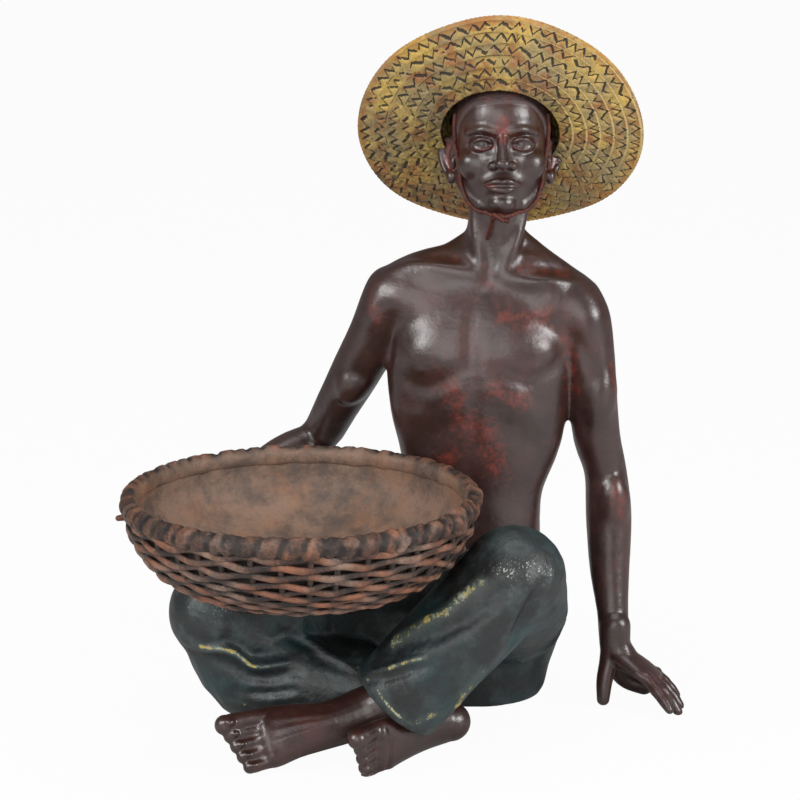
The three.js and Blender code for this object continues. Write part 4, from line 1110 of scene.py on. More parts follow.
in_head = (points_of(head) / MM - HEAD_MATRIX[:3, 3]) @ HEAD_MATRIX[:3, :3]
hair = np.clip(0.5 + (in_head[:, 2] - hairline(in_head[:, 1])) / 1.6, 0, 1) * (np.abs(in_head[:, 0]) < 20.8)
set_points(head, points_of(head) + normals_of(head) * hair[:, None] * 0.5 * MM)
store(head, "hair", hair)
face_rubs = [
    (head_line([(0, -24.5, -10), (0, -22.4, -13.4)]), 1.6),
    (head_line([(-7.6, -19, -17), (-4, -21.4, -17)]), 1.1)
]
face_rubs += [
    (head_line([(0, -20, 9), (0, -20.4, 2)]), 4.0), (head_line([(-6, -20, -17.4), (6, -20, -17.4)]), 1.1)
]
for s in (1, -1):
    face_rubs += [
        (head_line([(4, -18, 2.8), (8.4, -19.6, 3.8), (13.6, -15.6, 1.6)], s), 1.5),
        (head_line([(4, -17.6, -1.4), (8.6, -18.6, -3.4), (13, -15.6, -1.4)], s), 1.6),
        (head_line([(5, -19.6, -10.4), (6.4, -19, -7)], s), 1.5),
        (head_line([(21.4, 1.6, 0), (22.4, 3.4, -6), (20.4, 1, -11)], s), 2.4),
        (head_line([(19, -7, 11), (19.6, -5, 0), (18, -6, -9)], s), 2.2),
    ]
store(head, "rub", 1.2 * nearness(head, face_rubs))
smooth_shade(head)
store_hollows(head, 30)
seat(head, "head_casting", ["head"], SKIN)

# %% [markdown]
# ## Feet
#
# The left foot lies on its outer edge with its top to the front, so that its toes stack upwards, and
# the right one lies under the left shin with its sole to the front. Both are the same foot, rolled
# flat in its own frame, with the heel at the origin and the big toe at +Y, and then laid in place.

# %% Feet


def foot_masses(matrix, heel_stations, toe_end):
    """A foot from its heel or ankle stations to its toes, which end at a distance from the heel."""
    side = matrix[:3, 1]
    body_stations = [
        ((20, 0.5, 8.5), 9.8, 8.6), ((34, 1, 7), 11.4, 7.4), ((43.5, 0.6, 5.6), 12.8, 6),
        ((toe_end - 13, 0.4, 4.4), 12.2, 4.6),
    ]
    lumps = [limb([*heel_stations, *moved(body_stations, matrix)], side, sides=24)]
    lumps.append(ball(through(matrix, (4, 0, 6.5)), (8.6, 8.6, 8.2)))
    for n in range(5):
        radius = 4.3 if n == 0 else 3.5 - n * 0.16
        across = 9.2 - n * 4.65
        tip = toe_end - (0 if n == 0 else 0.4 + n * 1.5)
        root = toe_end - 18
        stations = [
            ((root, across * 0.95, radius + 1.6), radius, radius),
            (((root + tip) / 2, across, radius + 1.8), radius * 0.9, radius * 0.94),
            ((tip - radius * 0.6, across, radius + 0.4), radius, radius * 0.94),
        ]
        lumps.append(limb(moved(stations, matrix), side, sides=14))
        lumps.append(
            ball(
                through(matrix, (tip + 0.1, across, radius + 0.3)),
                (radius * 0.98, radius * 0.98, radius * 0.98)
            )
        )
        nail = through(matrix, (tip - 0.2 * radius, across, radius * 1.95))
        lumps.append(ball(nail, (radius * 0.55, radius * 0.55, radius * 0.4)))
    return lumps


LEFT_FOOT = frame_at((-46.5, -67, 11), (-0.9, -0.42, -0.03), (-0.12, -0.86, 0.5), mirrored=True)
RIGHT_FOOT = frame_at((-4, -65.5, 9.6), (-0.73, -0.68, -0.03), (-0.42, 0.62, 0.14))
ankle = [((-30, -77.4, 28.4), 9.8, 9.6), ((-38, -76.6, 23.6), 10.2, 9.6), ((-47, -77, 19.4), 10.4, 9.2)]
heel = moved([((6, 0, 7), 8.6, 7.6)], RIGHT_FOOT)
left_foot = knead("left_foot", foot_masses(LEFT_FOOT, ankle, 61), 0.55, 6)
right_foot = knead("right_foot", foot_masses(RIGHT_FOOT, heel, 58.5), 0.55, 6)
for n in range(4):
    across = 6.9 - n * 4.65
    for piece, matrix in ((left_foot, LEFT_FOOT), (right_foot, RIGHT_FOOT)):
        for depth in (8, 0.6):
            cleft = [through(matrix, (47, across * 0.95, depth)), through(matrix, (55.5, across, depth))]
            press(piece, [(cleft, -0.6, 1.3)])
knuckles = [through(LEFT_FOOT, (46.5, y, 9.4 + 0.2 * y)) for y in (-10, -5, 0, 5, 9)]
press(left_foot, [(knuckles, 0.9, 2.2)])
tendons = [
    ([through(LEFT_FOOT, (20, y * 0.4, 17)), through(LEFT_FOOT, (44, y, 11))], 0.4, 1.4) for y in (6, 1.5, -3)
]
press(left_foot, tendons)
for piece, name in ((left_foot, "left_foot"), (right_foot, "right_foot")):
    cut_off(piece, (0, 0, 0.3), (0, 0, -1))
    smooth_shade(piece)
    store_hollows(piece)
    seat(piece, name + "_casting", [name], SKIN)

# %% [markdown]
# ## Trousers
#
# Baggy cotton trousers, modelled in the clay: a low seat, the left knee raised, the right leg folded
# flat on the table. The cloth hangs in few, soft folds: a long one over the folded calf, some creases
# at the ankle, and ridges that run up the left shin. The hem of the left leg is open, and the foot
# comes out of it. Cloth simulation would give a finer fall than a casting has, so the folds are
# pressed and raised along lines.

# %% Trousers paint


def trousers_finish():
    f = Finish("trousers_paint")
    hollow = stored(f, "hollow")
    grain = clouds(f, 2.6, 5, 0.65, 2.0)
    speckle = clouds(f, 0.9, 3, 0.7, 9.0)
    patches = clouds(f, 28, 4, 0.55, 4.0)
    cool = blend(f, spread(f, patches, 0.45, 0.7), paint("16191a"), paint("163436"))
    base = blend(f, patchy(f, 0.44, 0.76, 10, 5, 0.65, 6.0), cool, paint("354142"))
    edges = spread(f, 0.0 - hollow * 0.6 + 0.7 * (grain - 0.5), 0.16, 0.6)
    raised_part = edges * spread(f, speckle, 0.35, 0.6)
    base = blend(f, raised_part * 0.4, base, paint("566364"))
    rub = stored(f, "rub")
    broken = clouds(f, 8, 4, 0.65, 13.0)
    cream = blend(f, patchy(f, 0.44, 0.56, 5, 4, 0.6, 19.0), paint("bca552"), paint("a3a68a"))
    base = blend(f, spread(f, rub, 0.1, 0.9) * 0.5, base, paint("42514a"))
    brushed = spread(f, rub + 2.0 * (broken - 0.5) + 1.4 * (grain - 0.5) + 1.0 * (speckle - 0.5), 0.72, 1.15)
    colour = blend(f, brushed * 0.85, base, cream)
    flecks = spread(f, speckle + 0.36 * stored(f, "knee") + 0.4 * (grain - 0.5), 0.93, 1.02)
    colour = blend(f, flecks * 0.8, colour, paint("b9c0b4"))
    rough = 0.36 + 0.2 * grain + 0.2 * brushed
    height = clouds(f, 9, 5, 0.55) + 0.2 * grain
    return coat(f, colour, rough, height, 1.0, shine=0.7)


TROUSERS = trousers_finish()

# %% Trousers masses
CAST_BASE = 1.3


def leg_masses(hip, knee, calf, ankle_at, calf_radius, hem_radius):
    hip, knee, calf, ankle_at = (np.asarray(p, float) for p in (hip, knee, calf, ankle_at))
    thigh = limb([(hip, 24, 24), ((hip + knee) / 2, 24, 24), (knee, 21.5, 21.5)], side=(0, 0, 1))
    shin = limb(
        [(knee, 20.5, 20.5), (calf, calf_radius, calf_radius), (ankle_at, hem_radius, hem_radius * 0.95)],
        side=(0, 0, 1), steps=5, round_ends=(True, False),
    )
    return [thigh, shin]


seat_mass = limb(
    [
        ((0, 6, 14), 33, 29), ((0, 5, 32), 38, 31), ((-0.5, 3, 50), 34, 25), ((-1, 1, 62), 31.5, 22),
        ((-1, 1, 64), 31.3, 21.8), ((-1, 1, 72), 31.3, 21.8),
    ],
    sides=32, round_ends=(True, False),
)
LEFT_CALF, LEFT_ANKLE = np.array([-13, -80, 49.0]), np.array([-34, -77, 24.5])
legs = [
    *leg_masses((14, 0, 37), (14, -76, 77), LEFT_CALF, LEFT_ANKLE, 20.5, 20.5),
    *leg_masses((-14, 0, 37), (-107, -44, 52), (-84, -41, 24.5), (-24, -60, 19), 25, 16.4),
]
cloth = knead("trousers", [seat_mass, *legs], 1.0, 12)

# %% Trousers folds
OVERHANG = [
    (-120.3, -57, 44), (-113.9, -60.6, 42), (-104.3, -63, 42), (-98.2, -63.5, 39.6), (-94.5, -63.7, 36),
    (-90, -64.1, 34.4), (-80, -63, 35.4)
]
SHIN_RIDGE = [
    (-34, -85.5, 53), (-24, -90.7, 61.8), (-17.2, -93, 66), (-12, -93.4, 69.4), (-7.3, -93, 74.3),
    (0, -92.4, 80)
]
WRINKLE = [(-42.9, -88.3, 40.8), (-36, -92.6, 43.9), (-28, -96.2, 48.1), (-22, -98, 50)]
SHIN_EDGE = [(0, -93, 44), (-3, -93.4, 38), (-6, -93.2, 34), (-9, -88.1, 27)]
HEM_EDGE = [
    (-49.7, -64.4, 34.7), (-44.9, -88.4, 37.4), (-40.8, -93.5, 34.1), (-34.4, -96.7, 26.7),
    (-26.8, -95.2, 20.7)
]
press(
    cloth,
    [
        (OVERHANG, 3.0, 1.9),
        ([place + np.array([0, 1, 4.6]) for place in np.array(OVERHANG[1:])], -2.2, 2.2),
        ([
            (-118, -56, 38), (-107, -61, 36.6), (-99, -63, 34), (-94, -64, 30.6), (-86, -65, 30),
            (-74, -63, 31.6)
        ], -2.4, 2.6),
        ([(-101, -60, 24.4), (-94, -63, 23.6), (-86, -65.7, 23.8), (-76, -66.5, 25.6)], -1.6, 1.6),
        ([(-101, -58, 20.6), (-92, -62.9, 20.4), (-83.5, -65.6, 20.8), (-74, -66, 22.6)], 0.8, 1.4),
        ([(-96, -59, 18), (-88, -63, 17), (-78, -65, 17)], -0.7, 1.6),
        ([
            (-84, -54, 56), (-73.4, -52.9, 46), (-63.4, -58.1, 39), (-54.6, -63.1, 35.5), (-49, -65, 33)
        ], 1.4, 1.3),
        ([(-82, -55, 50), (-73, -56, 42), (-64, -61, 35.6), (-56, -64, 32.6)], -1.3, 1.9),
        ([(-78, -52, 54), (-66, -54, 46), (-58, -60, 40)], 0.9, 1.1),
        ([(-72, -50, 58), (-60, -52, 50), (-52, -56, 42), (-47, -62, 36)], 1.1, 1.3),
        (SHIN_RIDGE, 2.0, 3.4),
        (
            [(-38, -88, 49), (-30, -92, 54), (-18, -97, 59), (-8, -98, 64), (2, -98, 70), (10, -97, 78)],
            -1.8, 3.4
        ),
        ([(-16, -97, 52), (-4, -98, 60), (8, -98, 70), (18, -94, 80)], 1.1, 3.4),
        (WRINKLE, 1.5, 1.5),
        ([(-44, -88, 37), (-35, -94, 40.4), (-27, -97, 44.6), (-20, -98, 47)], -1.6, 1.8),
        (SHIN_EDGE, 1.2, 2.6),
        (
            [(24, -93, 80), (20.6, -95, 73.5), (15, -93, 62), (9, -88, 50), (2, -87, 39), (-4, -86, 29)],
            -2.6, 2.6
        ),
        ([(17, -96, 75), (10, -96, 62), (4, -93, 50), (-3, -92, 38)], 1.4, 2.8),
        ([(-6, -98, 52), (-12, -99, 44), (-20, -97, 36), (-27, -95, 29)], -1.5, 3.6),
        ([(-18, -99, 48), (-25, -98, 40), (-32, -97, 33)], 0.9, 2.4),
        ([(34, -70, 74), (30, -50, 64), (30, -30, 54), (34, -12, 48)], -1.6, 4.4),
        ([(36, -60, 60), (36, -40, 50), (38, -20, 42)], 1.3, 4.0),
        ([(-30, 8, 52), (-42, -4, 54), (-58, -12, 58), (-74, -20, 62)], -1.6, 3.6),
        ([(-20, 22, 58), (-34, 16, 48), (-52, 8, 44), (-72, -4, 44)], 1.4, 4.0),
        ([(-24, 20, 44), (-40, 14, 36), (-60, 4, 32), (-84, -8, 32)], -1.4, 4.0),
        ([(35, -19, 52), (28, -27, 42), (18, -30, 34)], -1.8, 2.8),
        ([(37, -18, 42), (30, -27, 30), (16, -31, 22)], 1.8, 3.0),
        ([(38, -16, 32), (32, -25, 18), (22, -29, 10)], -1.4, 2.8),
        ([(8, -31, 46), (16, -32, 34), (22, -31, 20)], 1.3, 2.6),
        ([(38, -6, 52), (40, -8, 38), (39, -10, 20)], 1.3, 3.0),
        ([(0, 32, 50), (0, 37, 36), (0, 36, 20)], -2.2, 4.5),
        ([(26, 24, 58), (30, 26, 44), (32, 24, 26)], -1.3, 4.0),
        ([(-26, 24, 58), (-30, 26, 44), (-32, 24, 26)], -1.3, 4.0),
        ([(-30, 1, 70), (-20, -17, 70), (0, -21.5, 70), (20, -17, 70), (29, 1, 70)], 1.0, 1.5),
        ([(-30, 1, 70), (-20, 18, 70), (0, 23.5, 70), (20, 18, 70), (29, 1, 70)], 1.0, 1.5),
        ([(-30, 1, 65.6), (-20, -18, 65.6), (0, -22.4, 65.6), (20, -18, 65.6), (30, 1, 65.6)], -0.8, 1.2),
        ([(-30, 1, 65.6), (-20, 19, 65.6), (0, 24.4, 65.6), (20, 19, 65.6), (30, 1, 65.6)], -0.8, 1.2),
    ],
)

# %% Open hem
recess = limb(
    [
        (LEFT_ANKLE + 4 * unit(LEFT_ANKLE - LEFT_CALF), 18.2, 17.3),
        (LEFT_ANKLE, 18, 17.1),
        (LEFT_ANKLE - 8 * unit(LEFT_ANKLE - LEFT_CALF), 16.6, 15.8),
    ],
    side=(0, 0, 1), sides=32, round_ends=(False, False),
)
apply_modifier(cloth, "BOOLEAN", object=recess, operation="DIFFERENCE", solver="EXACT")
bpy.data.objects.remove(recess)
cloth = knead("trousers", [cloth], 0.92, 2)
cut_off(cloth, (0, 0, CAST_BASE), (0, 0, -1))
smooth_shade(cloth)
store_hollows(cloth, 30)
outward = lambda line, lift: [np.array(p) + [0, -lift, 0.3 * lift] for p in line]
thin = [
    (HEM_EDGE, 0.7), (outward(OVERHANG[1:], 2.6), 1.3), (outward(WRINKLE[1:], 1.2), 1.0),
    ([(-101, -59, 19), (-96, -61, 18.4)], 1.5)
]
wide = [
    (outward(SHIN_RIDGE, 1.6), 3.2), (outward(SHIN_EDGE, 1.2), 2.6),
    ([(-24, -96, 21.6), (-19, -96, 24), (-14, -94, 23)], 3.0)
]
store(cloth, "rub", np.maximum(1.2 * nearness(cloth, thin), 0.92 * nearness(cloth, wide)))
store(
    cloth, "knee",
    nearness(cloth, [([(-116, -56, 60), (-100, -66, 60)], 10), ([(6, -96, 86), (24, -90, 84)], 11)])
)
seat(cloth, "trousers_casting", ["trousers"], TROUSERS)

# %% [markdown]
# ## Hat
#
# The hat is plaited from one long straw braid, sewn in rings: six on the brim and five on the crown.
# Each ring laps over the next, and its straws cross in a zigzag. The shell is turned by Spin from
# its profile, as such a hat is round, then the braids are raised on it and the brim is waved. The
# rows and teeth are stored as a UV map, so that the paint follows the plaiting.

# %% Hat profile
BRIM, CROWN, CROWN_DEPTH, HAT_WALL = 59.0, 25.0, 29.0, 2.4
BRIM_ROWS = 6
CROWN_ROWS = 5
CROWN_SWEEP = 89
BRIM_PARTS = 9
CROWN_PARTS = 8
INNER_PARTS = 3
ROW = (BRIM - CROWN) / BRIM_ROWS
TURNS = 400


def brim_height(radius):
    return 2.5 * ((radius - CROWN) / (BRIM - CROWN)) ** 1.2


def crown_arc(radius, rise, share):
    """The radius and the height of the crown's wall, at a share of its way to the top."""
    angle = math.radians(CROWN_SWEEP * share / CROWN_ROWS)
    return radius * math.cos(angle) ** 0.7, rise + CROWN_DEPTH * math.sin(angle)


def brim_side(rise):
    """Corners of one side of the brim, from its edge inward."""
    spots = [(row, k / BRIM_PARTS) for row in range(BRIM_ROWS) for k in range(BRIM_PARTS)]
    radii = [BRIM - (row + part) * ROW for row, part in spots]
    return [(radius, brim_height(radius) + rise, *spot) for radius, spot in zip(radii, spots)]


def crown_side(radius, rise, parts):
    """Corners of one side of the crown, from its foot to its top."""
    spots = [(row, k / parts) for row in range(CROWN_ROWS) for k in range(parts)]
    return [(*crown_arc(radius, rise, row + part), BRIM_ROWS + row, part) for row, part in spots]


def hat_profile():
    """Corner by corner round the wall: [radius, height, row, part of the row]."""
    top_row = BRIM_ROWS + CROWN_ROWS - 1
    out = brim_side(HAT_WALL) + crown_side(CROWN + HAT_WALL, HAT_WALL, CROWN_PARTS)
    out += [(0, HAT_WALL + CROWN_DEPTH, top_row, 1), (0, CROWN_DEPTH, top_row, 1)]
    return out + crown_side(CROWN, 0, INNER_PARTS)[::-1] + brim_side(0)[::-1]


profile = hat_profile()
hat = turned([(r, h) for r, h, *_ in profile], TURNS)
print("hat shell:", len(hat.data.vertices), "points")

# %% Plait the hat
TOOTH = 5.4


def tooth_count(row):
    if row < BRIM_ROWS:
        radius = BRIM - (row + 0.5) * ROW
    else:
        radius, _ = crown_arc(CROWN + HAT_WALL, HAT_WALL, row - BRIM_ROWS + 0.5)
    return max(6, round(2 * math.pi * radius / TOOTH))


def tooth_phase(bearings, rows):
    """Where in its row of teeth each point lies. The teeth aren't quite even, as straws aren't."""
    teeth = np.array([tooth_count(row) for row in range(BRIM_ROWS + CROWN_ROWS)])[rows]
    uneven = 0.3 * np.sin(5 * bearings + rows * 2.1) + 0.16 * np.sin(17 * bearings + rows * 1.3)
    return bearings / (2 * math.pi) * teeth + rows * 0.37 + uneven


def plait(points, normals, rows, parts, bearings):
    """Raises the braids: each ring laps over the next, and its straws cross in a zigzag."""
    phase = tooth_phase(bearings, rows)
    wave = np.abs((phase % 1) - 0.5) * 2
    off = (parts - 0.2 - 0.6 * wave) * ROW
    broken = 0.6 + 0.4 * np.sin(phase * 2.3 + rows * 1.9)
    lap = 0.75 * np.clip(1 - parts * 5, 0, 1) ** 2 - 0.4 * np.exp(-(((1 - parts) * ROW / 0.6) ** 2))
    facet = 0.4 * np.tanh(off / 0.8)
    groove = -0.55 * broken * np.exp(-((off / 0.55) ** 2))
    straw = 0.12 * np.sin(phase * 2 * math.pi * 3 + parts * 9)
    near_top = np.clip(np.hypot(points[:, 0], points[:, 1]) / (6 * MM), 0, 1)
    return points + normals * ((lap + facet + groove + straw) * near_top * MM)[:, None]


ring_points = points_of(hat)
radius_of = np.hypot(ring_points[:, 0], ring_points[:, 1]) / MM
table = np.array([[r, h] for r, h, *_ in profile])
height_of = ring_points[:, 2] / MM
which = [int(np.argmin(np.sum((table - spot) ** 2, axis=1))) for spot in zip(radius_of, height_of)]
rows = np.array([p[2] for p in profile])[which]
parts = np.array([p[3] for p in profile])[which]
bearings = np.arctan2(ring_points[:, 1], ring_points[:, 0])
raised = plait(ring_points, normals_of(hat), rows, parts, bearings)

# %% UV map of rows and teeth
uv = hat.data.uv_layers.new(name="plait")
loops = read_off(hat.data.loops, "vertex_index", kind=np.int64)
coordinates = np.zeros((len(loops), 2))
starts = read_off(hat.data.polygons, "loop_start", kind=np.int64)
totals = read_off(hat.data.polygons, "loop_total", kind=np.int64)
for start, total in zip(starts, totals):
    corner = loops[start : start + total]
    turn = bearings[corner]
    if turn.max() - turn.min() > math.pi:
        turn = np.where(turn < 0, turn + 2 * math.pi, turn)
    on_axis = radius_of[corner] < 0.01
    if on_axis.any():
        turn = np.where(on_axis, turn[~on_axis].mean(), turn)
    row = rows[corner].min() if rows[corner].max() - rows[corner].min() <= 1 else rows[corner].max()
    part = rows[corner] - row + parts[corner]
    coordinates[start : start + total, 0] = tooth_phase(turn, np.full(total, row))
    coordinates[start : start + total, 1] = row + part
uv.data.foreach_set("uv", coordinates.ravel())

# %% Wave the brim and set the hat on the head
share = np.clip((radius_of - CROWN) / (BRIM - CROWN), 0, None)
raised[:, 2] -= 3.5 * MM * share * (np.cos(2 * bearings + 0.2) + 0.2 * np.cos(3 * bearings + 1))
raised[:, 2] += 0.5 * MM * share * np.sin(7 * bearings + 0.6)
raised[:, 1] *= 1 - 0.035 * share * np.clip(-np.sin(bearings), 0, 1)
tilt = Matrix.Rotation(math.radians(6), 3, "Y") @ Matrix.Rotation(math.radians(-54), 3, "X")
HAT_MOUTH = on_head(-0.4, -3.5, 4.2)
set_points(hat, raised @ np.array(tilt).T + HAT_MOUTH * MM)
in_hat = (points_of(head) / MM - HAT_MOUTH) @ np.array(tilt)
reach = np.hypot(in_hat[:, 0], in_hat[:, 1])
room = CROWN * np.clip(1 - (in_hat[:, 2] / CROWN_DEPTH) ** 2, 0.02, 1) ** 0.35 - 1
tucked = (in_hat[:, 2] > 0) & (reach > room)
in_hat[tucked, :2] *= (room / reach)[tucked, None]
set_points(head, (in_hat @ np.array(tilt).T + HAT_MOUTH) * MM)
print("tucked into the crown:", int(tucked.sum()), "points of the head")
print("hat set at", [round(c, 1) for c in HAT_MOUTH])

# %% Straw paint


def straw_finish():
    f = Finish("straw_paint")
    plaited = f.add("ShaderNodeUVMap", {"uv_map": "plait"}, {})
    split = f.add("ShaderNodeSeparateXYZ", {}, {0: plaited})
    along = Value(f, split.socket.node.outputs[0])
    across = Value(f, split.socket.node.outputs[1])
    part = across.maths("FRACT", across)
    tooth = along.maths("FRACT", along)
    jitter = clouds(f, 2.6, 3, 0.6, 2.0)
    uneven = clouds(f, 6, 3, 0.6, 17.0)
    wave = (tooth - 0.5).maths("ABSOLUTE", tooth - 0.5) * 2
    off = (part - 0.2 - 0.6 * wave + 0.34 * (jitter - 0.5) + 0.3 * (uneven - 0.5)) * ROW
    away = off.maths("ABSOLUTE", off)
    steep_side = spread(f, tooth, 0.42, 0.56)
    width = 0.38 + 0.45 * steep_side + 1.0 * (uneven - 0.45)
    stroke = 1 - spread(f, away / width, 0.5, 1.2)
    stroke = stroke * patchy(f, 0.36, 0.48, 3.4, 3, 0.6, 21.0)
    seam = (1 - spread(f, (1 - part) * ROW, 0.1, 0.7)) * patchy(f, 0.42, 0.6, 7, 3, 0.6, 31.0)
    grain = clouds(f, 1.1, 3, 0.7, 5.0)
    dots = patchy(f, 0.62, 0.7, 1.6, 3, 0.6, 41.0)
    # The inner rows of the brim, next to the head, which get a painted shade below
    shade_near_head = spread(f, across, 3.0, 6.0)
    place = f.add("ShaderNodeSeparateXYZ", {}, {0: places(f)})
    upper = Value(f, place.socket.node.outputs[2])
    # The upper right part of the hat, where the braid edges are given a painted highlight
    highlit_right_part = spread(f, place, 0.006, 0.024) * spread(f, upper, 0.225, 0.25)
    low_left = (1 - spread(f, place, -0.035, 0.005)) * (1 - spread(f, upper, 0.225, 0.262))
    base = blend(f, patchy(f, 0.38, 0.62, 22, 4, 0.6, 1.0), paint("c6a657"), paint("99875f"))
    base = blend(f, patchy(f, 0.47, 0.62, 12, 5, 0.66, 6.0) * 0.8, base, paint("9a6338"))
    # orange along the outer edge of the brim: partly an orange stain, partly a painted highlight on the edge
    base = blend(
        f, (1 - spread(f, across, 0.0, 0.9)) * spread(f, jitter, 0.35, 0.6) * 0.7, base, paint("b07236")
    )
    base = blend(f, patchy(f, 0.52, 0.68, 10, 5, 0.65, 11.0) * 0.6, base, paint("7b6a4c"))
    # painted shade: dark brown patches on the inner rows, where the head and the crown shade the brim
    base = blend(f, shade_near_head * patchy(f, 0.3, 0.6, 6, 4, 0.6, 23.0) * 0.55, base, paint("3a3224"))
    wash = low_left * patchy(f, 0.46, 0.62, 4, 4, 0.65, 51.0)
    base = blend(f, wash * 0.75, base, paint("2b261d"))
    # cream along the lap edge of each row: faintly all round as pale straw, and strongly on the upper right
    # as a painted highlight
    cream = spread(f, part, 0.0, 0.05) * (1 - spread(f, part, 0.12, 0.2)) * spread(f, jitter, 0.2, 0.42)
    base = blend(f, cream * (0.06 + 0.8 * highlit_right_part), base, paint("e6cb92"))
    base = blend(f, 0.4 * spread(f, grain, 0.52, 0.72), base, paint("5f4d2c"))
    base = blend(f, dots * 0.8, base, paint("2a2218"))
    # the zigzag strokes and the dark joins between rows; the joins are painted less dark on the upper right,
    # as part of the painted highlight there
    dark = spread(f, stroke + 0.7 * seam * (1 - 0.7 * highlit_right_part), 0.2, 0.75)
    colour = blend(f, dark * 0.94, base, paint("1d1812"))
    height = 0.0 - stroke + 0.3 * grain + 0.4 * jitter
    return coat(f, colour, 0.5 + 0.15 * grain, height, 0.3)


smooth_shade(hat, 60)
seat(hat, "straw_hat", ["hat"], straw_finish())

# %% [markdown]
# ## Chin cord
#
# A thin red-brown cord runs from under the hat at each temple, down before the ears and round the jaw
# to a knot under the chin, with two short ends on the throat. It is cast with the head, so it is a
# rigid relief and not a free cord. Its points are laid on the finished head, which keeps it seated.

# %% Cord paint


def cord_finish():
    f = Finish("cord_paint")
    grain = clouds(f, 1.5, 3, 0.6)
    colour = blend(f, spread(f, grain, 0.35, 0.7), paint("36150e"), paint("66291b"))
    return coat(f, colour, 0.55 + 0.2 * grain, grain, 0.2)


# %% Lay the cord


def surface_of(*pieces):
    """A search tree over pieces, to find the nearest place on their skin."""
    corners, faces = [], []
    for piece in pieces:
        base = len(corners)
        corners += [tuple(c) for c in points_of(piece)]
        faces += [[base + i for i in polygon.vertices] for polygon in piece.data.polygons]
    return BVHTree.FromPolygons(corners, faces)


def laid_on(surface, points, lift):
    """Points moved to a skin, and lifted off it, in millimetres."""
    out = []
    for point in points:
        place, normal, *_ = surface.find_nearest(Vector(point) * MM)
        out.append(np.array(place + normal * lift * MM) / MM)
    return out


head_surface = surface_of(head, torso)
loop_half = [
    (19.6, -7.5, 12), (20.2, -7, 4), (19.4, -6, -6), (16.8, -7.6, -16), (11.5, -11, -24.4), (5, -15, -28.6)
]
loop = head_line(loop_half, -1) + head_line([(-1.2, -16, -29.2)]) + head_line(loop_half[::-1])
loop = laid_on(head_surface, smooth_path(loop, 4), 0.55)
knot_at = np.array(laid_on(head_surface, head_line([(-1.2, -15.4, -28.6)]), 1.0)[0])
tail_a = [
    knot_at, *laid_on(head_surface, head_line([(-4.6, -13, -32), (-6, -11, -36), (-6.4, -10, -41)]), 0.6)
]
tail_b = [knot_at, *laid_on(head_surface, head_line([(2.2, -13, -31.5), (3.6, -12, -35)]), 0.7)]
cord_lumps = [
    roll(loop, 0.95, 1, 8),
    roll(smooth_path(tail_a, 3), 0.95, 1, 8),
    roll(smooth_path(tail_b, 3), 0.95, 1, 8),
    ball(knot_at, (2.6, 1.5, 1.5)),
    roll([knot_at + [-1.8, -1.2, 1.2], knot_at + [0, -1.9, 0], knot_at + [1.6, -1.2, -1.4]], 0.9, 3, 8),
]
cord_length = sum(
    np.linalg.norm(np.diff(np.array(run), axis=0), axis=1).sum() for run in (loop, tail_a, tail_b)
)
print("cord:", round(cord_length), "mm with its ends")
cord = knead("cord", cord_lumps, 0.28, 1)
smooth_shade(cord)
seat(cord, "chin_cord_relief", ["chin_cord"], cord_finish())

# %% [markdown]
# ## Basket
#
# A round dish basket: a turned bowl that is plain inside, upright stakes on the outside, and rows of
# cane that pass over one stake and behind the next. A thick rope of slanting lumps finishes the rim.
# The bowl is turned, one stake is modelled and copied round it, and each cane is a torus that is
# pushed in and out between the stakes.

# %% Basket paint


def wicker_finish(name):
    f = Finish(name)
    grain = clouds(f, 2.2, 5, 0.65)
    fine = clouds(f, 0.9, 3, 0.7, 2.0)
    dark = blend(f, patchy(f, 0.4, 0.65, 9, 3, 0.6, 5.0), paint("1f1714"), paint("33251f"))
    copper = blend(f, patchy(f, 0.4, 0.65, 20, 4, 0.6, 3.0), paint("8e5b42"), paint("8a6f60"))
    brushed = spread(f, stored(f, "proud") + 0.9 * (grain - 0.5) + 0.5 * (fine - 0.5), 0.35, 1.1)
    brushed = brushed * (0.45 + 0.55 * patchy(f, 0.36, 0.6, 9, 4, 0.6, 15.0))
    outer = blend(f, brushed, dark, copper)
    mottle = patchy(f, 0.38, 0.62, 17, 6, 0.7, 9.0)
    floor_colour = blend(f, mottle, paint("856a59"), paint("5a4b42"))
    floor_colour = blend(f, patchy(f, 0.48, 0.7, 24, 5, 0.66, 12.0) * 0.7, floor_colour, paint("93694c"))
    floor_colour = blend(
        f, spread(f, fine + 0.5 * (grain - 0.5), 0.5, 0.8) * 0.45, floor_colour, paint("4b3a32")
    )
    colour = blend(f, stored(f, "inner"), outer, floor_colour)
    return coat(f, colour, 0.5 + 0.2 * grain, grain + 0.3 * fine, 0.45)


# %% Bowl
BOWL_TURNS = 144
lip = DEPTH - ROPE_R * 0.87 - 0.3
outer_line = [(0.0, 0.0), (BASE_R - 5, 0.0)]
outer_line += [(wall_at(s)[0] - 1.6, wall_at(s)[1]) for s in np.linspace(0.03, 0.94, 22)]
outer_line.append((wall_at(0.94)[0] - 1.6, lip + 1.5))
inner_line = [
    (wall_at(s)[0] - WALL, FLOOR_T + wall_at(s)[1] / DEPTH * (lip - FLOOR_T))
    for s in np.linspace(0.94, 0.05, 22)
]
inner_line[0] = (inner_line[0][0], lip + 1.5)
inner_line += [(BASE_R - WALL - 3, FLOOR_T), (0.0, FLOOR_T)]
bowl = turned(outer_line + inner_line, BOWL_TURNS)
wear(bowl, -0.4)
print("bowl:", len(bowl.data.vertices), "points")

# %% Stakes and canes
STAKES, CANES = 38, 12
CANE_RING = 60
shares = np.linspace(0.02, 0.95, 400)
wall_line = np.array([wall_at(s) for s in shares])
lengths = np.concatenate([[0], np.cumsum(np.hypot(*np.diff(wall_line, axis=0).T))])
PITCH = lengths[-1] / CANES

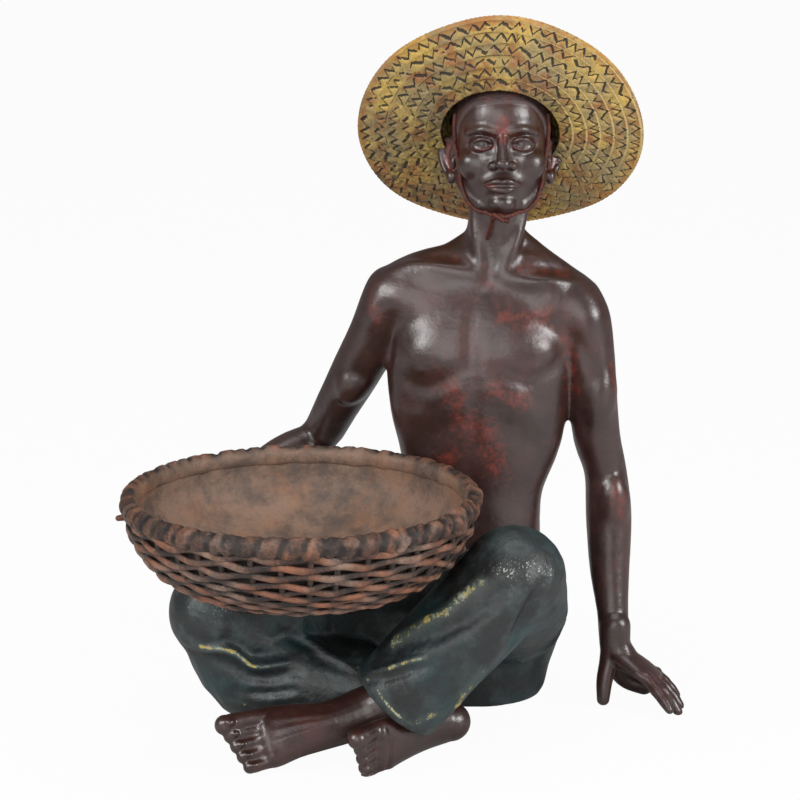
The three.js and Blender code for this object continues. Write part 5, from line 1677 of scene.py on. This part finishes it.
weave = []
stake_line = [(wall_at(s)[0] - 0.5, 0, wall_at(s)[1] + 0.3) for s in np.linspace(0.02, 0.93, 12)]
stake = limb([(p, 1.35, 1.3) for p in stake_line], side=(0, 1, 0), sides=8, steps=1)
wear(stake, 0.45)
chance = np.random.default_rng(7)
for n in range(STAKES):
    copy = duplicate(stake, "stake")
    turn = np.array(Matrix.Rotation(2 * math.pi * (n + chance.normal(0, 0.05)) / STAKES, 3, "Z"))
    set_points(copy, points_of(stake) @ turn.T)
    weave.append(copy)
bpy.data.objects.remove(stake)

for row in range(CANES):
    cane, bearing, outward, up = clay_ring(CANE_RING, STAKES * 10, 10)
    knots = np.linspace(-math.pi, math.pi, STAKES + 1)
    by_stake = lambda amount: np.interp(
        bearing, knots, np.resize(chance.normal(0, amount, STAKES), STAKES + 1)
    )
    wave = np.cos(bearing * STAKES / 2 + row * math.pi)
    at = (row + 0.5) * PITCH + wave * PITCH * (0.17 + by_stake(0.08)) + by_stake(0.3)
    at = at + up * (PITCH * 0.42 + by_stake(0.2) - 0.1 * wave)
    at = np.clip(at, 0, lengths[-1] + 1.2)
    radius = np.interp(at, lengths, wall_line[:, 0])
    height = np.interp(at, lengths, wall_line[:, 1])
    slope = np.interp(at, lengths, np.arctan2(np.gradient(wall_line[:, 1]), np.gradient(wall_line[:, 0])))
    dip = np.sin(bearing * STAKES / 2 + row * math.pi)
    proud = outward * (1.2 + by_stake(0.1)) + 0.1 + 0.55 * dip + by_stake(0.3)
    radius = radius + proud * np.sin(slope)
    height = height - proud * np.cos(slope)
    set_points(cane, around(bearing, radius, np.maximum(height, 0.1)) * MM)
    wear(cane, np.clip(0.32 + 0.5 * outward + 0.3 * dip + by_stake(0.15), -0.5, 1.5))
    weave.append(cane)

twig = roll([(-64, -2, 28.2), (-69.5, -3.4, 28), (-73.6, -4.4, 27.6)], [1.5, 1.5, 1.2])
wear(twig, 0.7)
weave.append(twig)

basket = joined("basket", [bowl, *weave])
set_points(basket, points_of(basket) + BASKET * MM)
place_in = points_of(basket) / MM - BASKET
radial = np.hypot(place_in[:, 0], place_in[:, 1])
wall_spots = np.array([wall_at(s) for s in np.linspace(0, 1, 40)])
wall_radius = np.interp(place_in[:, 2], wall_spots[:, 1], wall_spots[:, 0])
is_inner = ((radial < wall_radius - 2.4) & (place_in[:, 2] > 2)).astype(float)
basket.data.attributes["inner"].data.foreach_set("value", is_inner.astype(np.float32))
smooth_shade(basket, 50)
seat(basket, "basket_weave", ["basket_bowl"], wicker_finish("wicker_paint"))

# %% Rope rim
LUMPS = 60
rope, bearing, across, up = clay_ring(RIM_R - WALL / 2, LUMPS * 14, 28)
turn = np.arctan2(up, across)
wobble = 1.1 * np.sin(3 * bearing + 1) + 0.8 * np.sin(7 * bearing + 2)
wobble = wobble + 0.9 * np.sin(13 * bearing) + 0.5 * np.sin(19 * bearing)
phase = LUMPS * bearing - turn + math.radians(60) + wobble
crest = np.clip((np.abs(np.cos(phase / 2)) - 0.02) / 0.5, 0, 1) ** 0.7
lump = 0.3 * np.sin(25 * bearing + 1) + 0.25 * np.sin(11 * bearing + 0.5) + 0.2 * np.sin(37 * bearing)
toward_bowl = np.clip(-np.cos(turn), 0, 1)
right_side = np.clip(np.cos(bearing + 0.5), 0, 1)
pebbles = 0.55 * right_side * np.cos(3 * turn + 9 * np.sin(11 * bearing))
outer_part = 1 - np.clip(1.5 * toward_bowl, 0, 1)
groove = 1.5 + 0.4 * np.sin(2 * bearing + 2)
thick = ROPE_R + 0.1 + 0.55 * lump + pebbles * outer_part - 1.9 * toward_bowl
thick = thick - groove * outer_part * (1 - crest)
new_radius = RIM_R - WALL / 2 + thick * np.cos(turn)
set_points(rope, (around(bearing, new_radius, DEPTH + thick * np.sin(turn)) + BASKET) * MM)
wear(rope, 0.05 + 0.6 * crest + 0.35 * lump + 0.3 * pebbles, np.clip(1.8 * toward_bowl - 0.3, 0, 1))
smooth_shade(rope, 80)
seat(rope, "basket_rope", ["basket_rim"], wicker_finish("rope_paint"))

# %% [markdown]
# ## Pads and pins
#
# Felt pads stand under the seat and the folded leg, and steel pins key the castings together. Their
# solids are right as they are, and need only their finish.

# %% Felt and steel


def felt_finish():
    f = Finish("green_felt")
    fibre = clouds(f, 0.6, 4, 0.7)
    colour = blend(f, fibre, paint("1f3a29"), paint("35573f"))
    return coat(f, colour, 0.95, fibre, 0.3)


def steel_finish():
    f = Finish("steel_pin")
    drawn = clouds(f, 0.8, 2, 0.5)
    sockets = {"Base Color": (0.7, 0.7, 0.71, 1), "Metallic": 1.0, "Roughness": 0.25 + 0.15 * drawn}
    return f.ends_in(f.add("ShaderNodeBsdfPrincipled", {}, sockets))


felt = felt_finish()
steel = steel_finish()
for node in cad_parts:
    if node.endswith("_pad") or node.endswith("_dowel"):
        solid = bpy.data.objects[node]
        solid.data.materials.clear()
        solid.data.materials.append(felt if node.endswith("_pad") else steel)
